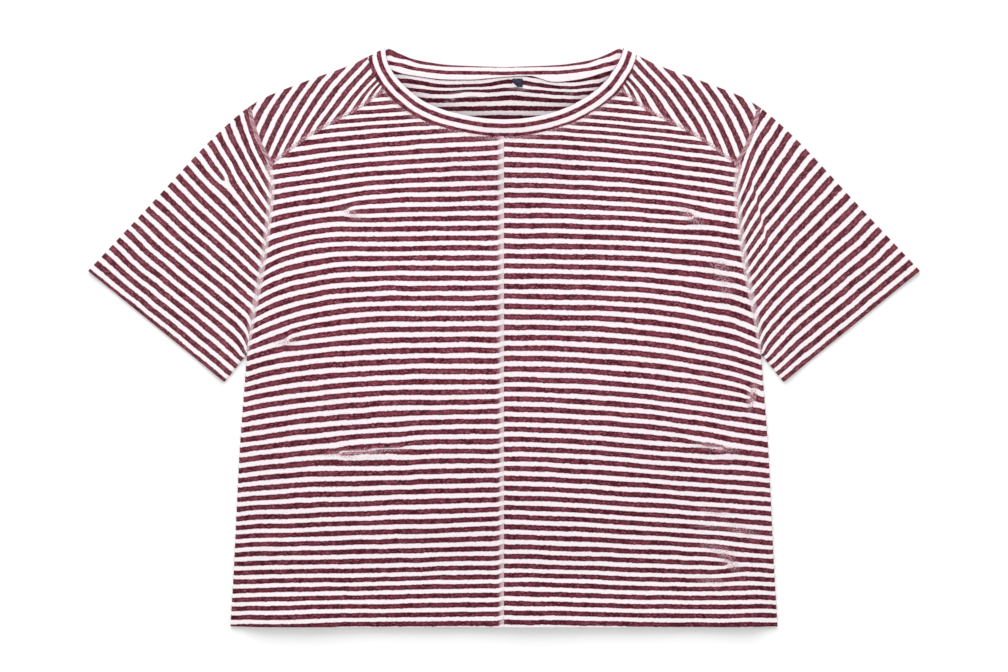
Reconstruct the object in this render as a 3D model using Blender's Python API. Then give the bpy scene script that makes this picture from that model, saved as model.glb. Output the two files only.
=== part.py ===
"""A boxy short-sleeved knit top, lying flat on its back with its front up.

The pieces are those that are cut and sewn: a back whose shoulders are carried over to
a seam on the chest, two front halves joined down the middle, two sleeves, a neckband
and a small loop label. Each is a wall of cloth. Its outer face is made of grids that
span from seam to seam and round the folded edges, and the wall grows inwards from it.
Pieces that meet share their seam's points, and each stops half a gap short.

Metres, +X to the viewer's right, +Y towards the neck, +Z up. The origin is the middle
of the whole outline, on the surface that the top lies on.
"""

import math
from typing import NamedTuple

import bmesh
import bpy
from mathutils import Vector, geometry

MM = 0.001

# Cloth, in metres.
CLOTH = 1.2 * MM
BAND_CLOTH = 2.0 * MM
LABEL_CLOTH = 0.4 * MM
SEAM_GAP = 0.3 * MM
WELD = 0.003 * MM
LAYER_GAP = 0.4 * MM
FOLD_RADIUS = 2.1 * MM
BAND_FOLD_RADIUS = 2.5 * MM
LABEL_FOLD_RADIUS = 0.45 * MM
LAID_HEIGHT = 2 * CLOTH + LAYER_GAP
LABEL_BASE = CLOTH + SEAM_GAP
EDGE_REACH = 34 * MM

# Driving sizes of the outline, laid flat.
LENGTH = 579 * MM
HEM_WIDTH = 547.4 * MM
CHEST_WIDTH = 514 * MM
SHOULDER_WIDTH = 515.6 * MM
SPAN = 832 * MM
NECK_WIDTH = 239 * MM
CUFF_WIDTH = 175.9 * MM
CUFF_TURN = math.radians(39.2)
SHOULDER_DROP = 60.5 * MM
ARMPIT_DROP = 306.1 * MM
CUFF_DROP = 222.8 * MM
BAND_AT_FOLD = Vector((13.5 * MM, -7 * MM))
NECK_LEAN = Vector((-0.35, -0.94))
ARMPIT_RISE = Vector((-0.7 * MM, 3 * MM))

# How high the front neckline stands off the back, and how far that reaches down the chest.
NECK_RISE = 4.4 * MM
NECK_REACH = 85 * MM
BAND_STEP = 0.5 * MM
BAND_CROWN = 1.4 * MM

# Grid divisions, and the share of each hem that lies under the neck's columns.
NECK_COLUMNS = 10
BACK_NECK_COLUMNS = 7
SHOULDER_COLUMNS = 6
FRONT_NECK_SHARE = 0.56
BACK_NECK_SHARE = 0.5
LOW_ARMHOLE_ROWS = 12
HIGH_ARMHOLE_ROWS = 4
BODY_ROWS = 12
SLEEVE_ROWS = 10
BAND_ROWS = 2
QUARTER_TURN = 3
HALF_TURN = 6
CURVE_STEPS = 16

# An open edge steeper than this share belongs to a side seam. The others limit the corners' trim.
STEEP = 0.7
LEAST_SPREAD = 0.5
LEAST_TURN = 0.1

TOP = LENGTH / 2
HEM = -LENGTH / 2
CENTRE_HEM = Vector((0, HEM))
NECK_POINT = Vector((NECK_WIDTH / 2, TOP))
NECK_SEAM_POINT = NECK_POINT + BAND_AT_FOLD
SHOULDER = Vector((SHOULDER_WIDTH / 2, TOP - SHOULDER_DROP))
ARMPIT = Vector((CHEST_WIDTH / 2, TOP - ARMPIT_DROP))
SIDE_HEM = Vector((HEM_WIDTH / 2, HEM))
CUFF_TOP = Vector((SPAN / 2, TOP - CUFF_DROP))
CUFF_DIRECTION = Vector((-math.cos(CUFF_TURN), -math.sin(CUFF_TURN)))
CUFF_BOTTOM = CUFF_TOP + CUFF_WIDTH * CUFF_DIRECTION
ARMPIT_INNER = ARMPIT + ARMPIT_RISE


class Station(NamedTuple):
    """A point that a seam or an edge passes through on the +X side, in millimetres."""

    x: float
    y: float


SIDE_STATIONS = (Station(x=260, y=-54), Station(x=264.5, y=-114.5), Station(x=270.4, y=-234))
SHOULDER_STATIONS = (
    Station(x=245, y=237),
    Station(x=228, y=245),
    Station(x=192.5, y=258.5),
    Station(x=155, y=272),
)
SLEEVE_TOP_STATIONS = (
    Station(x=348, y=139),
    Station(x=300.5, y=190.2),
    Station(x=274.5, y=215),
)
LOW_ARMHOLE_STATIONS = (
    Station(x=251, y=16.5),
    Station(x=242, y=60),
    Station(x=234.8, y=109),
    Station(x=230.8, y=150),
)
HIGH_ARMHOLE_STATIONS = (Station(x=248.6, y=199),)
ARMHOLE_CORNER = Station(x=233.5, y=171)
FORWARD_CORNER = Station(x=121, y=245.5)
FORWARD_STATIONS = (Station(x=149.6, y=224.5), Station(x=186.3, y=204.5))
FRONT_NECK_STATIONS = (
    Station(x=0, y=203.5),
    Station(x=42, y=206),
    Station(x=72.6, y=213.8),
    Station(x=93, y=223.5),
    Station(x=111, y=235),
)
FRONT_RIM_STATIONS = (
    Station(x=0, y=220),
    Station(x=42, y=222),
    Station(x=74, y=232),
    Station(x=101, y=250.5),
    Station(x=114, y=270),
)
BACK_NECK_STATIONS = (
    Station(x=0, y=257.5),
    Station(x=54, y=258.5),
    Station(x=92, y=261.5),
    Station(x=119, y=271),
)
BACK_RIM_STATIONS = (
    Station(x=0, y=270),
    Station(x=54, y=272),
    Station(x=90, y=277.5),
)


class Fold(NamedTuple):
    """A soft ridge on the upper layer: its middle, length, width and height in mm."""

    x: float
    y: float
    turn: float
    length: float
    width: float
    height: float


FOLDS = (
    Fold(x=-132, y=-113, turn=5, length=90, width=22, height=1.3),
    Fold(x=224, y=62, turn=-52, length=70, width=24, height=1.5),
    Fold(x=220, y=-107, turn=-6, length=80, width=22, height=1.3),
    Fold(x=222, y=-215, turn=-38, length=110, width=26, height=1.5),
    Fold(x=-236, y=-204, turn=14, length=70, width=24, height=1.2),
    Fold(x=-286, y=150, turn=48, length=90, width=24, height=1.4),
    Fold(x=292, y=132, turn=-50, length=100, width=26, height=1.5),
    Fold(x=-170, y=60, turn=-32, length=150, width=34, height=1.1),
)


class Label(NamedTuple):
    """The loop label's place and size, in mm."""

    x: float
    top: float
    bottom: float
    width: float


LABEL = Label(x=12.5, top=257, bottom=250.5, width=9)


class Finish(NamedTuple):
    """A plain look for one cloth."""

    name: str
    colour: tuple
    roughness: float


STRIPED_KNIT = Finish(name="striped_knit", colour=(0.42, 0.22, 0.26, 1), roughness=0.9)
STRIPED_BAND = Finish(name="striped_band", colour=(0.45, 0.25, 0.29, 1), roughness=0.9)
DARK_TAPE = Finish(name="dark_tape", colour=(0.05, 0.06, 0.09, 1), roughness=0.7)


def at(station):
    """The station's place in metres."""
    return Vector((station.x * MM, station.y * MM))


def path(points, segments):
    """Points at even steps along a smooth curve through these ones."""
    lengths = [0.0]
    for before, after in zip(points, points[1:]):
        lengths.append(lengths[-1] + (after - before).length)
    last = len(points) - 1
    slopes = []
    for i in range(len(points)):
        low, high = max(i - 1, 0), min(i + 1, last)
        slopes.append((points[high] - points[low]) / (lengths[high] - lengths[low]))
    fine = [points[0]]
    for i in range(last):
        reach = (lengths[i + 1] - lengths[i]) / 3
        curve = geometry.interpolate_bezier(
            points[i],
            points[i] + slopes[i] * reach,
            points[i + 1] - slopes[i + 1] * reach,
            points[i + 1],
            CURVE_STEPS + 1,
        )
        fine.extend(Vector(point[:2]) for point in curve[1:])
    return even_steps(fine, segments)


def even_steps(points, segments):
    """The same polyline, divided into segments of equal length."""
    lengths = [0.0]
    for before, after in zip(points, points[1:]):
        lengths.append(lengths[-1] + (after - before).length)
    made = []
    i = 0
    for step in range(segments + 1):
        wanted = lengths[-1] * step / segments
        while i < len(points) - 2 and lengths[i + 1] < wanted:
            i += 1
        share = (wanted - lengths[i]) / (lengths[i + 1] - lengths[i])
        made.append(points[i].lerp(points[i + 1], min(share, 1.0)))
    return made


def set_in(outline):
    """Points a fold's radius inside an outline whose garment side is on its left."""
    made = []
    last = len(outline) - 1
    for i, point in enumerate(outline):
        along = (outline[min(i + 1, last)] - outline[max(i - 1, 0)]).normalized()
        made.append(point + FOLD_RADIUS * Vector((-along.y, along.x)))
    return made


# Folded edges of the outline, and the same edges a fold's radius further in.
SIDE = path([SIDE_HEM, *map(at, reversed(SIDE_STATIONS)), ARMPIT], BODY_ROWS)
SIDE_INNER = [SIDE_HEM - Vector((FOLD_RADIUS, 0)), *set_in(SIDE)[1:-1], ARMPIT_INNER]
SLEEVE_TOP = path([CUFF_TOP, *map(at, SLEEVE_TOP_STATIONS), SHOULDER], SLEEVE_ROWS)
SHOULDER_LINE = path([SHOULDER, *map(at, SHOULDER_STATIONS), NECK_SEAM_POINT], SHOULDER_COLUMNS)
SHOULDER_INNER_POINT = (set_in(SLEEVE_TOP)[-1] + set_in(SHOULDER_LINE)[0]) / 2
NECK_INNER_POINT = NECK_SEAM_POINT + FOLD_RADIUS * NECK_LEAN
SLEEVE_TOP_INNER = [
    CUFF_TOP + FOLD_RADIUS * CUFF_DIRECTION,
    *set_in(SLEEVE_TOP)[1:-1],
    SHOULDER_INNER_POINT,
]
SHOULDER_INNER = [SHOULDER_INNER_POINT, *set_in(SHOULDER_LINE)[1:-1], NECK_INNER_POINT]
UNDERARM = path([ARMPIT, CUFF_BOTTOM], SLEEVE_ROWS)
UNDERARM_INNER = [
    ARMPIT_INNER,
    *set_in(UNDERARM)[1:-1],
    CUFF_BOTTOM - FOLD_RADIUS * CUFF_DIRECTION,
]

# Seams, each from low to high or from the centre outwards.
LOW_ARMHOLE = path(
    [ARMPIT_INNER, *map(at, LOW_ARMHOLE_STATIONS), at(ARMHOLE_CORNER)], LOW_ARMHOLE_ROWS
)
HIGH_ARMHOLE = path(
    [at(ARMHOLE_CORNER), *map(at, HIGH_ARMHOLE_STATIONS), SHOULDER_INNER_POINT], HIGH_ARMHOLE_ROWS
)
ARMHOLE = LOW_ARMHOLE + HIGH_ARMHOLE[1:]
FORWARD_SEAM = path(
    [at(FORWARD_CORNER), *map(at, FORWARD_STATIONS), at(ARMHOLE_CORNER)], SHOULDER_COLUMNS
)
FRONT_NECK = path([*map(at, FRONT_NECK_STATIONS), at(FORWARD_CORNER)], NECK_COLUMNS)
NECK_SIDE = path([at(FORWARD_CORNER), NECK_INNER_POINT], HIGH_ARMHOLE_ROWS)
BACK_NECK = path([*map(at, BACK_NECK_STATIONS), NECK_INNER_POINT], BACK_NECK_COLUMNS)


def smooth_step(share):
    """0 to 1 with level ends."""
    share = min(max(share, 0.0), 1.0)
    return share * share * (3 - 2 * share)


def distance_to(polyline, point):
    """How far the point lies from the polyline, in plan."""
    nearest = math.inf
    for start, end in zip(polyline, polyline[1:]):
        found, share = geometry.intersect_point_line(point, start, end)
        if share < 0:
            found = start
        elif share > 1:
            found = end
        nearest = min(nearest, (Vector(found[:2]) - point).length)
    return nearest


def fold_height(fold, point):
    """What one soft ridge adds here: a bell across it that fades towards its ends."""
    turn = math.radians(fold.turn)
    offset = point / MM - Vector((fold.x, fold.y))
    along = offset.x * math.cos(turn) + offset.y * math.sin(turn)
    across = offset.y * math.cos(turn) - offset.x * math.sin(turn)
    fade = smooth_step(1 - abs(2 * along / fold.length))
    return fold.height * MM * fade * math.exp(-((2 * across / fold.width) ** 2))


def top_height(point):
    """Height of the upper layer's outer face over this place in plan."""
    folded = Vector((abs(point.x), point.y))
    edges = (SIDE, SLEEVE_TOP, SHOULDER_LINE, UNDERARM)
    inwards = min(distance_to(edge, folded) for edge in edges) - FOLD_RADIUS
    edge_share = 1 - smooth_step(inwards / (EDGE_REACH - FOLD_RADIUS))
    height = LAID_HEIGHT + (2 * FOLD_RADIUS - LAID_HEIGHT) * edge_share
    across = math.cos(0.5 * math.pi * min(folded.x / (NECK_WIDTH / 2), 1.0)) ** 2
    down = smooth_step(1 - distance_to(FRONT_NECK, folded) / NECK_REACH)
    ridges = sum(fold_height(fold, point) for fold in FOLDS)
    return height + NECK_RISE * across * down + ridges * (1 - edge_share)


def bottom_height(_point):
    """Height of the under layer's outer face, which lies on the surface."""
    return 0.0


def patch(low, high, start, end):
    """Rows of plan points that fill the four-sided field between these edges."""
    width = low[-1] - low[0]
    shares = [(point - low[0]).dot(width) / width.length_squared for point in low]
    rows = []
    for j, (first, last) in enumerate(zip(start, end, strict=True)):
        rise = j / (len(start) - 1)
        row = []
        for i, share in enumerate(shares):
            across = first.lerp(last, share)
            along = low[i].lerp(high[i], rise)
            corners = low[0].lerp(low[-1], share).lerp(high[0].lerp(high[-1], share), rise)
            row.append(across + along - corners)
        rows.append(row)
    return rows


def two_part_line(start, end, share, first, second):
    """A straight edge whose first columns fill the share of it, and the rest the remainder."""
    middle = start.lerp(end, share)
    return even_steps([start, middle], first) + even_steps([middle, end], second)[1:]


def lay(rows, height, side):
    """Plan rows placed on their layer, on the +X side or mirrored to the other."""
    laid = []
    for row in rows:
        places = [Vector((side * point.x, point.y)) for point in row]
        laid.append([Vector((place.x, place.y, height(place))) for place in places])
    return laid


def turn_over(outline, inner, start, end, segments, side):
    """Rows round a folded edge, from the start angle to the end: 0 below and 180 on top."""
    rows = []
    for step in range(segments + 1):
        angle = math.radians(start + (end - start) * step / segments)
        row = []
        for edge, inside in zip(outline, inner, strict=True):
            place = inside + (edge - inside) * math.sin(angle)
            full = top_height(Vector((side * inside.x, inside.y)))
            row.append(Vector((side * place.x, place.y, full * (1 - math.cos(angle)) / 2)))
        rows.append(row)
    return rows


def add_grid(mesh, rows):
    """Adds a grid whose vertices stand on the rows' points."""
    columns = len(rows[0]) - 1
    grid = bmesh.ops.create_grid(mesh, x_segments=columns, y_segments=len(rows) - 1, size=1)
    for vertex in grid["verts"]:
        i = round((vertex.co.x + 1) / 2 * columns)
        j = round((vertex.co.y + 1) / 2 * (len(rows) - 1))
        vertex.co = rows[j][i]


def face_outwards(mesh, middle):
    """Turns all faces the way that points away from the layers' middle height."""
    bmesh.ops.recalc_face_normals(mesh, faces=mesh.faces)
    outwards = 0.0
    for face in mesh.faces:
        centre = face.calc_center_median()
        outwards += face.calc_area() * face.normal.z * math.copysign(1, centre.z - middle)
    if outwards < 0:
        bmesh.ops.reverse_faces(mesh, faces=mesh.faces)


def seam_directions(vertex):
    """Which way the cloth lies from the open edges at this vertex: level, or upright at a side seam."""
    found = []
    for edge in vertex.link_edges:
        if edge.is_boundary:
            face = edge.link_faces[0]
            along = (edge.verts[1].co - edge.verts[0].co).normalized()
            across = along.cross(face.normal)
            if across.dot(face.calc_center_median() - edge.verts[0].co) < 0:
                across.negate()
            upright = abs(across.z) > STEEP
            level = Vector((across.x, across.y, 0))
            found.append(Vector((0, 0, across.z)).normalized() if upright else level.normalized())
    return found


def thicken(mesh, thickness):
    """Trims the open edges by half a seam gap and gives the sheet its inner face.

    The walls that close the edges stand square to the seam, so two trimmed pieces
    leave an even gap between them.
    """
    shift = mesh.verts.layers.float_vector.new("shift")
    trims = {}
    mesh.normal_update()
    for vertex in mesh.verts:
        inwards = -vertex.normal * thickness * vertex.calc_shell_factor()
        directions = seam_directions(vertex)
        if directions:
            first, last = directions[0], directions[-1]
            spread = max(1 + first.dot(last), LEAST_SPREAD)
            trims[vertex] = (first + last) * SEAM_GAP / 2 / spread
            inwards -= first * inwards.dot(first)
            square = last - first * last.dot(first)
            if square.length > LEAST_TURN:
                square.normalize()
                inwards -= square * inwards.dot(square)
        vertex[shift] = inwards
    for vertex, trim in trims.items():
        vertex.co += trim
    made = bmesh.ops.extrude_face_region(mesh, geom=mesh.faces[:], use_keep_orig=True)
    for vertex in made["geom"]:
        if isinstance(vertex, bmesh.types.BMVert):
            vertex.co += vertex[shift]
    bmesh.ops.recalc_face_normals(mesh, faces=mesh.faces)


def material_for(finish):
    """The finish as a Principled material, made once."""
    made = bpy.data.materials.get(finish.name)
    if made is None:
        made = bpy.data.materials.new(finish.name)
        made.use_nodes = True
        shader = made.node_tree.nodes["Principled BSDF"]
        shader.inputs["Base Color"].default_value = finish.colour
        shader.inputs["Roughness"].default_value = finish.roughness
        shader.inputs["Metallic"].default_value = 0.0
        made.diffuse_color = finish.colour
    return made


def cloth_piece(name, grids, thickness, finish, middle=FOLD_RADIUS):
    """One piece: its grids joined to one sheet, trimmed at its seams and given thickness."""
    mesh = bmesh.new()
    for rows in grids:
        add_grid(mesh, rows)
    bmesh.ops.remove_doubles(mesh, verts=mesh.verts, dist=WELD)
    face_outwards(mesh, middle)
    thicken(mesh, thickness)
    data = bpy.data.meshes.new(name)
    mesh.to_mesh(data)
    mesh.free()
    data.shade_smooth()
    data.materials.append(material_for(finish))
    piece = bpy.data.objects.new(name, data)
    bpy.context.scene.collection.objects.link(piece)


def front_half(side):
    """Grids of one front half: hem to armpit, armpit to neck, and round the side."""
    middle = Vector((0, ARMPIT_INNER.y))
    counts = (FRONT_NECK_SHARE, NECK_COLUMNS, SHOULDER_COLUMNS)
    hem = two_part_line(CENTRE_HEM, SIDE_INNER[0], *counts)
    chest = two_part_line(middle, ARMPIT_INNER, *counts)
    centre_low = even_steps([CENTRE_HEM, middle], BODY_ROWS)
    centre_high = even_steps([middle, FRONT_NECK[0]], LOW_ARMHOLE_ROWS)
    upper_edge = FRONT_NECK + FORWARD_SEAM[1:]
    return [
        lay(patch(hem, chest, centre_low, SIDE_INNER), top_height, side),
        lay(patch(chest, upper_edge, centre_high, LOW_ARMHOLE), top_height, side),
        turn_over(SIDE, SIDE_INNER, 180, 90, QUARTER_TURN, side),
    ]


def back_half(side):
    """Grids of one half of the back: its under layer, its folds and its carried-over shoulder."""
    middle = Vector((0, ARMPIT_INNER.y))
    counts = (BACK_NECK_SHARE, BACK_NECK_COLUMNS, SHOULDER_COLUMNS)
    hem = two_part_line(CENTRE_HEM, SIDE_INNER[0], *counts)
    chest = two_part_line(middle, ARMPIT_INNER, *counts)
    centre_low = even_steps([CENTRE_HEM, middle], BODY_ROWS)
    centre_high = even_steps([middle, BACK_NECK[0]], len(ARMHOLE) - 1)
    shoulder = SHOULDER_INNER[::-1]
    upper_edge = BACK_NECK + shoulder[1:]
    return [
        lay(patch(hem, chest, centre_low, SIDE_INNER), bottom_height, side),
        lay(patch(chest, upper_edge, centre_high, ARMHOLE), bottom_height, side),
        lay(patch(FORWARD_SEAM, shoulder, NECK_SIDE, HIGH_ARMHOLE), top_height, side),
        turn_over(SIDE, SIDE_INNER, 0, 90, QUARTER_TURN, side),
        turn_over(SHOULDER_LINE, SHOULDER_INNER, 0, 180, HALF_TURN, side),
    ]


def sleeve_grids(side):
    """Grids of one sleeve: both layers, the fold above and the seamed edge below."""
    cuff = even_steps([UNDERARM_INNER[-1], SLEEVE_TOP_INNER[0]], len(ARMHOLE) - 1)
    plan = patch(ARMHOLE, cuff, UNDERARM_INNER, SLEEVE_TOP_INNER[::-1])
    return [
        lay(plan, bottom_height, side),
        lay(plan, top_height, side),
        turn_over(SLEEVE_TOP, SLEEVE_TOP_INNER, 0, 180, HALF_TURN, side),
        turn_over(UNDERARM, UNDERARM_INNER, 0, 90, QUARTER_TURN, side),
        turn_over(UNDERARM, UNDERARM_INNER, 180, 90, QUARTER_TURN, side),
    ]


def band_section(seam, rim, seam_height, rim_height, side):
    """Points across the band from its seam to its rim."""
    row = []
    for step in range(BAND_ROWS + 1):
        share = step / BAND_ROWS
        place = seam.lerp(rim, share)
        height = seam_height + (rim_height - seam_height) * share
        row.append(Vector((side * place.x, place.y, height)))
    return row


def band_half(side):
    """Rows across one half of the neckband, from the centre front over to the centre back."""
    inner_seam = NECK_SEAM_POINT + BAND_FOLD_RADIUS * NECK_LEAN
    inner_rim = NECK_POINT + BAND_FOLD_RADIUS * NECK_LEAN
    front_seam = FRONT_NECK + NECK_SIDE[1:-1] + [inner_seam]
    front_rim = path([*map(at, FRONT_RIM_STATIONS), inner_rim], len(front_seam) - 1)
    folded = 2 * BAND_FOLD_RADIUS
    rows = []
    for i, (seam, rim) in enumerate(zip(front_seam, front_rim)):
        last = smooth_step(i / (len(front_seam) - 1))
        seam_height = top_height(seam) + BAND_STEP
        seam_height += (folded - seam_height) * last
        crown = BAND_CROWN * (1 - last)
        rows.append(band_section(seam, rim, seam_height, seam_height + crown, side))
    for step in range(1, HALF_TURN):
        angle = math.pi * step / HALF_TURN
        reach = math.sin(angle)
        height = BAND_FOLD_RADIUS * (1 + math.cos(angle))
        seam = inner_seam.lerp(NECK_SEAM_POINT, reach)
        rim = inner_rim.lerp(NECK_POINT, reach)
        rows.append(band_section(seam, rim, height, height, side))
    back_seam = BACK_NECK[:-1] + [inner_seam]
    back_rim = path([*map(at, BACK_RIM_STATIONS), inner_rim], BACK_NECK_COLUMNS)
    for seam, rim in zip(reversed(back_seam), reversed(back_rim)):
        rows.append(band_section(seam, rim, 0.0, 0.0, side))
    return rows


def label_rows():
    """Rows round the loop label, from its lower end at the seam over to its upper end."""
    half = LABEL.width * MM / 2
    centre = LABEL.x * MM
    radius = LABEL_FOLD_RADIUS
    outline = [(LABEL.top * MM, LABEL_BASE)]
    for step in range(HALF_TURN + 1):
        angle = math.pi * step / HALF_TURN
        along = LABEL.bottom * MM + radius * (1 - math.sin(angle))
        outline.append((along, LABEL_BASE + radius * (1 - math.cos(angle))))
    outline.append((LABEL.top * MM, LABEL_BASE + 2 * radius))
    return [[Vector((centre + end, y, z)) for end in (-half, 0.0, half)] for y, z in outline]


def clear_scene():
    """Removes what the scene starts with."""
    for found in list(bpy.data.objects):
        bpy.data.objects.remove(found)


def main():
    """Builds every piece."""
    clear_scene()
    cloth_piece("back", back_half(1) + back_half(-1), CLOTH, STRIPED_KNIT)
    for name, side in (("right", 1), ("left", -1)):
        cloth_piece(f"front_{name}", front_half(side), CLOTH, STRIPED_KNIT)
        cloth_piece(f"sleeve_{name}", sleeve_grids(side), CLOTH, STRIPED_KNIT)
    cloth_piece("neckband", [band_half(1), band_half(-1)], BAND_CLOTH, STRIPED_BAND)
    label_middle = LABEL_BASE + LABEL_FOLD_RADIUS
    cloth_piece("label", [label_rows()], LABEL_CLOTH, DARK_TAPE, label_middle)


if __name__ == "__main__":
    main()
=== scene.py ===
"""The looks of a boxy short-sleeved striped knit top, lying flat with its front up.

Each sewn piece is a class that builds its cloth from grids and dresses it. The stripes
are counted on the cloth itself, so they follow every piece. Metres, in the frame of the
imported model: +X to the viewer's right, +Y towards the neck, +Z up.
"""

import logging
import math
from dataclasses import dataclass, field
from enum import Enum
from itertools import starmap
from typing import Callable, NamedTuple

import bmesh
import bpy
import numpy as np
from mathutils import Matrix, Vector, noise


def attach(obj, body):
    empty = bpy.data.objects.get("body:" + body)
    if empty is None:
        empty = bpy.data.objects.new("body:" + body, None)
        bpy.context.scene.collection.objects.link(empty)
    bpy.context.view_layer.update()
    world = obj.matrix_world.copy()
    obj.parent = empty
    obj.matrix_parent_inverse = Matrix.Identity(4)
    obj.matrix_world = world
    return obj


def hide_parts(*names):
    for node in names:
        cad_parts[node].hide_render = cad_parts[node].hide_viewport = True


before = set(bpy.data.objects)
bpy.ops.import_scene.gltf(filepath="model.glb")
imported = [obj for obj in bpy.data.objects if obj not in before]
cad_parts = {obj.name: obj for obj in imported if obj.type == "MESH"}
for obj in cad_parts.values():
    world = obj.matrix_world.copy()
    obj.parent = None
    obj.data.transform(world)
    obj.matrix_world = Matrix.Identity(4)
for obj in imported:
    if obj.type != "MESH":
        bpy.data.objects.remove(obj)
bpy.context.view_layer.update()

MM = 0.001
TAU = 2 * math.pi
PAIR = 10  # one dark and one white stripe, in mm
FOLD_STEP = 22.5  # degrees between two rows of cloth that turns round an edge
Array = np.ndarray
Socket = bpy.types.NodeSocket
Stations = list[tuple[float, float]]

log = logging.getLogger("striped_top")


class Side(Enum):
    """Which half of the garment, seen from in front of it."""

    LEFT = -1
    RIGHT = 1

    @property
    def word(self) -> str:
        """The side's name in lower case."""
        return self.name.lower()

    def put(self, plan: Array) -> Array:
        """Places on the +X side, put on this side."""
        return plan * (self.value, 1)


# --- Plan geometry.


def smooth_step(share: Array) -> Array:
    """0 to 1 with level ends."""
    share = np.clip(share, 0.0, 1.0)
    return share * share * (3 - 2 * share)


def bell(gap: Array, reach: float, power: int = 2) -> Array:
    """1 at no gap, dying away over the reach."""
    return np.exp(-((gap / reach) ** power))


def folded_over(places: Array) -> Array:
    """Places in plan, brought to the +X side."""
    return np.column_stack([np.abs(places[:, 0]), places[:, 1]])


def running_length(line: Array) -> Array:
    """How far along the line each of its points is."""
    return np.concatenate([[0.0], np.cumsum(np.linalg.norm(np.diff(line, axis=0), axis=1))])


def spaced(line: Array, segments: int) -> Array:
    """Divides a line into segments of equal length.

    Args:
        line: the line's points.
        segments: how many it gets.

    Returns:
        The new points.
    """
    lengths = running_length(line)
    wanted = np.linspace(0, lengths[-1], segments + 1)
    return np.column_stack([np.interp(wanted, lengths, axis) for axis in line.T])


def smooth_line(points: Array, segments: int, fineness: int = 24) -> Array:
    """Draws a smooth curve through the points.

    Args:
        points: the places it passes through.
        segments: how many equal segments it gets.
        fineness: steps between two places before it is divided evenly.

    Returns:
        The curve's points, one more than the segments.
    """
    lengths = running_length(points)
    count = len(points)
    low = np.maximum(np.arange(count) - 1, 0)
    high = np.minimum(np.arange(count) + 1, count - 1)
    slopes = (points[high] - points[low]) / (lengths[high] - lengths[low])[:, None]
    rise = np.linspace(0, 1, fineness + 1)[1:, None]
    made = [points[:1]]
    for i in range(count - 1):
        reach = lengths[i + 1] - lengths[i]
        made.append(
            (2 * rise**3 - 3 * rise**2 + 1) * points[i]
            + (rise**3 - 2 * rise**2 + rise) * reach * slopes[i]
            + (3 * rise**2 - 2 * rise**3) * points[i + 1]
            + (rise**3 - rise**2) * reach * slopes[i + 1]
        )
    return spaced(np.vstack(made), segments)


def curve(start: Array, stations: Stations, end: Array, segments: int) -> Array:
    """A smooth line from start to end by way of stations in millimetres."""
    return smooth_line(np.vstack([start, np.array(stations) * MM, end]), segments)


def normals_of(line: Array) -> Array:
    """Finds the unit normals on a line's left.

    Args:
        line: the line's points.

    Returns:
        One normal for each point.
    """
    last = len(line) - 1
    index = np.arange(len(line))
    along = line[np.minimum(index + 1, last)] - line[np.maximum(index - 1, 0)]
    along /= np.linalg.norm(along, axis=1)[:, None]
    return np.column_stack([-along[:, 1], along[:, 0]])


def nearest(line: Array, points: Array) -> tuple[Array, Array]:
    """Finds the nearest place on a line.

    Args:
        line: the line's points.
        points: the places asked about.

    Returns:
        How far each place is from the line, and how far along it its nearest point is.
    """
    best = np.full(len(points), np.inf)
    along = np.zeros(len(points))
    for start, end, before in zip(line, line[1:], running_length(line)):
        leg = end - start
        square = leg @ leg
        share = np.clip((points - start) @ leg / square, 0, 1)
        gap = np.linalg.norm(points - start - share[:, None] * leg, axis=1)
        closer = gap < best
        best[closer] = gap[closer]
        along[closer] = before + share[closer] * math.sqrt(square)
    return best, along


def filled(low: Array, high: Array, start: Array, end: Array) -> Array:
    """Fills the four-sided field between these edges.

    Args:
        low: the first row.
        high: the last row.
        start: the edge that joins the rows' first points.
        end: the edge that joins their last points.

    Returns:
        Rows of points, as rows by columns by 2.
    """
    width = low[-1] - low[0]
    shares = ((low - low[0]) @ width / (width @ width))[None, :, None]
    rises = np.linspace(0, 1, len(start))[:, None, None]
    across = start[:, None] * (1 - shares) + end[:, None] * shares
    along = low[None] * (1 - rises) + high[None] * rises
    floor_line = low[0] * (1 - shares) + low[-1] * shares
    top_line = high[0] * (1 - shares) + high[-1] * shares
    return across + along - (floor_line * (1 - rises) + top_line * rises)


def broken_line(start: Array, end: Array, share: float, first: int, second: int) -> Array:
    """Divides a straight edge in two parts with columns of their own.

    Args:
        start: where it starts.
        end: where it ends.
        share: how much of it the first part takes.
        first: the columns in the first part.
        second: those in the rest.

    Returns:
        The edge's points.
    """
    middle = start + (end - start) * share
    head = spaced(np.array([start, middle]), first)
    return np.vstack([head, spaced(np.array([middle, end]), second)[1:]])


# --- The outline.


class NeckLines(NamedTuple):
    """How one half's neck lies, in mm: its seams' stations from the middle outwards."""

    lap: tuple[float, float]
    bow: float
    forward: Stations
    front: Stations
    back: Stations
    rim: Stations


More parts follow.
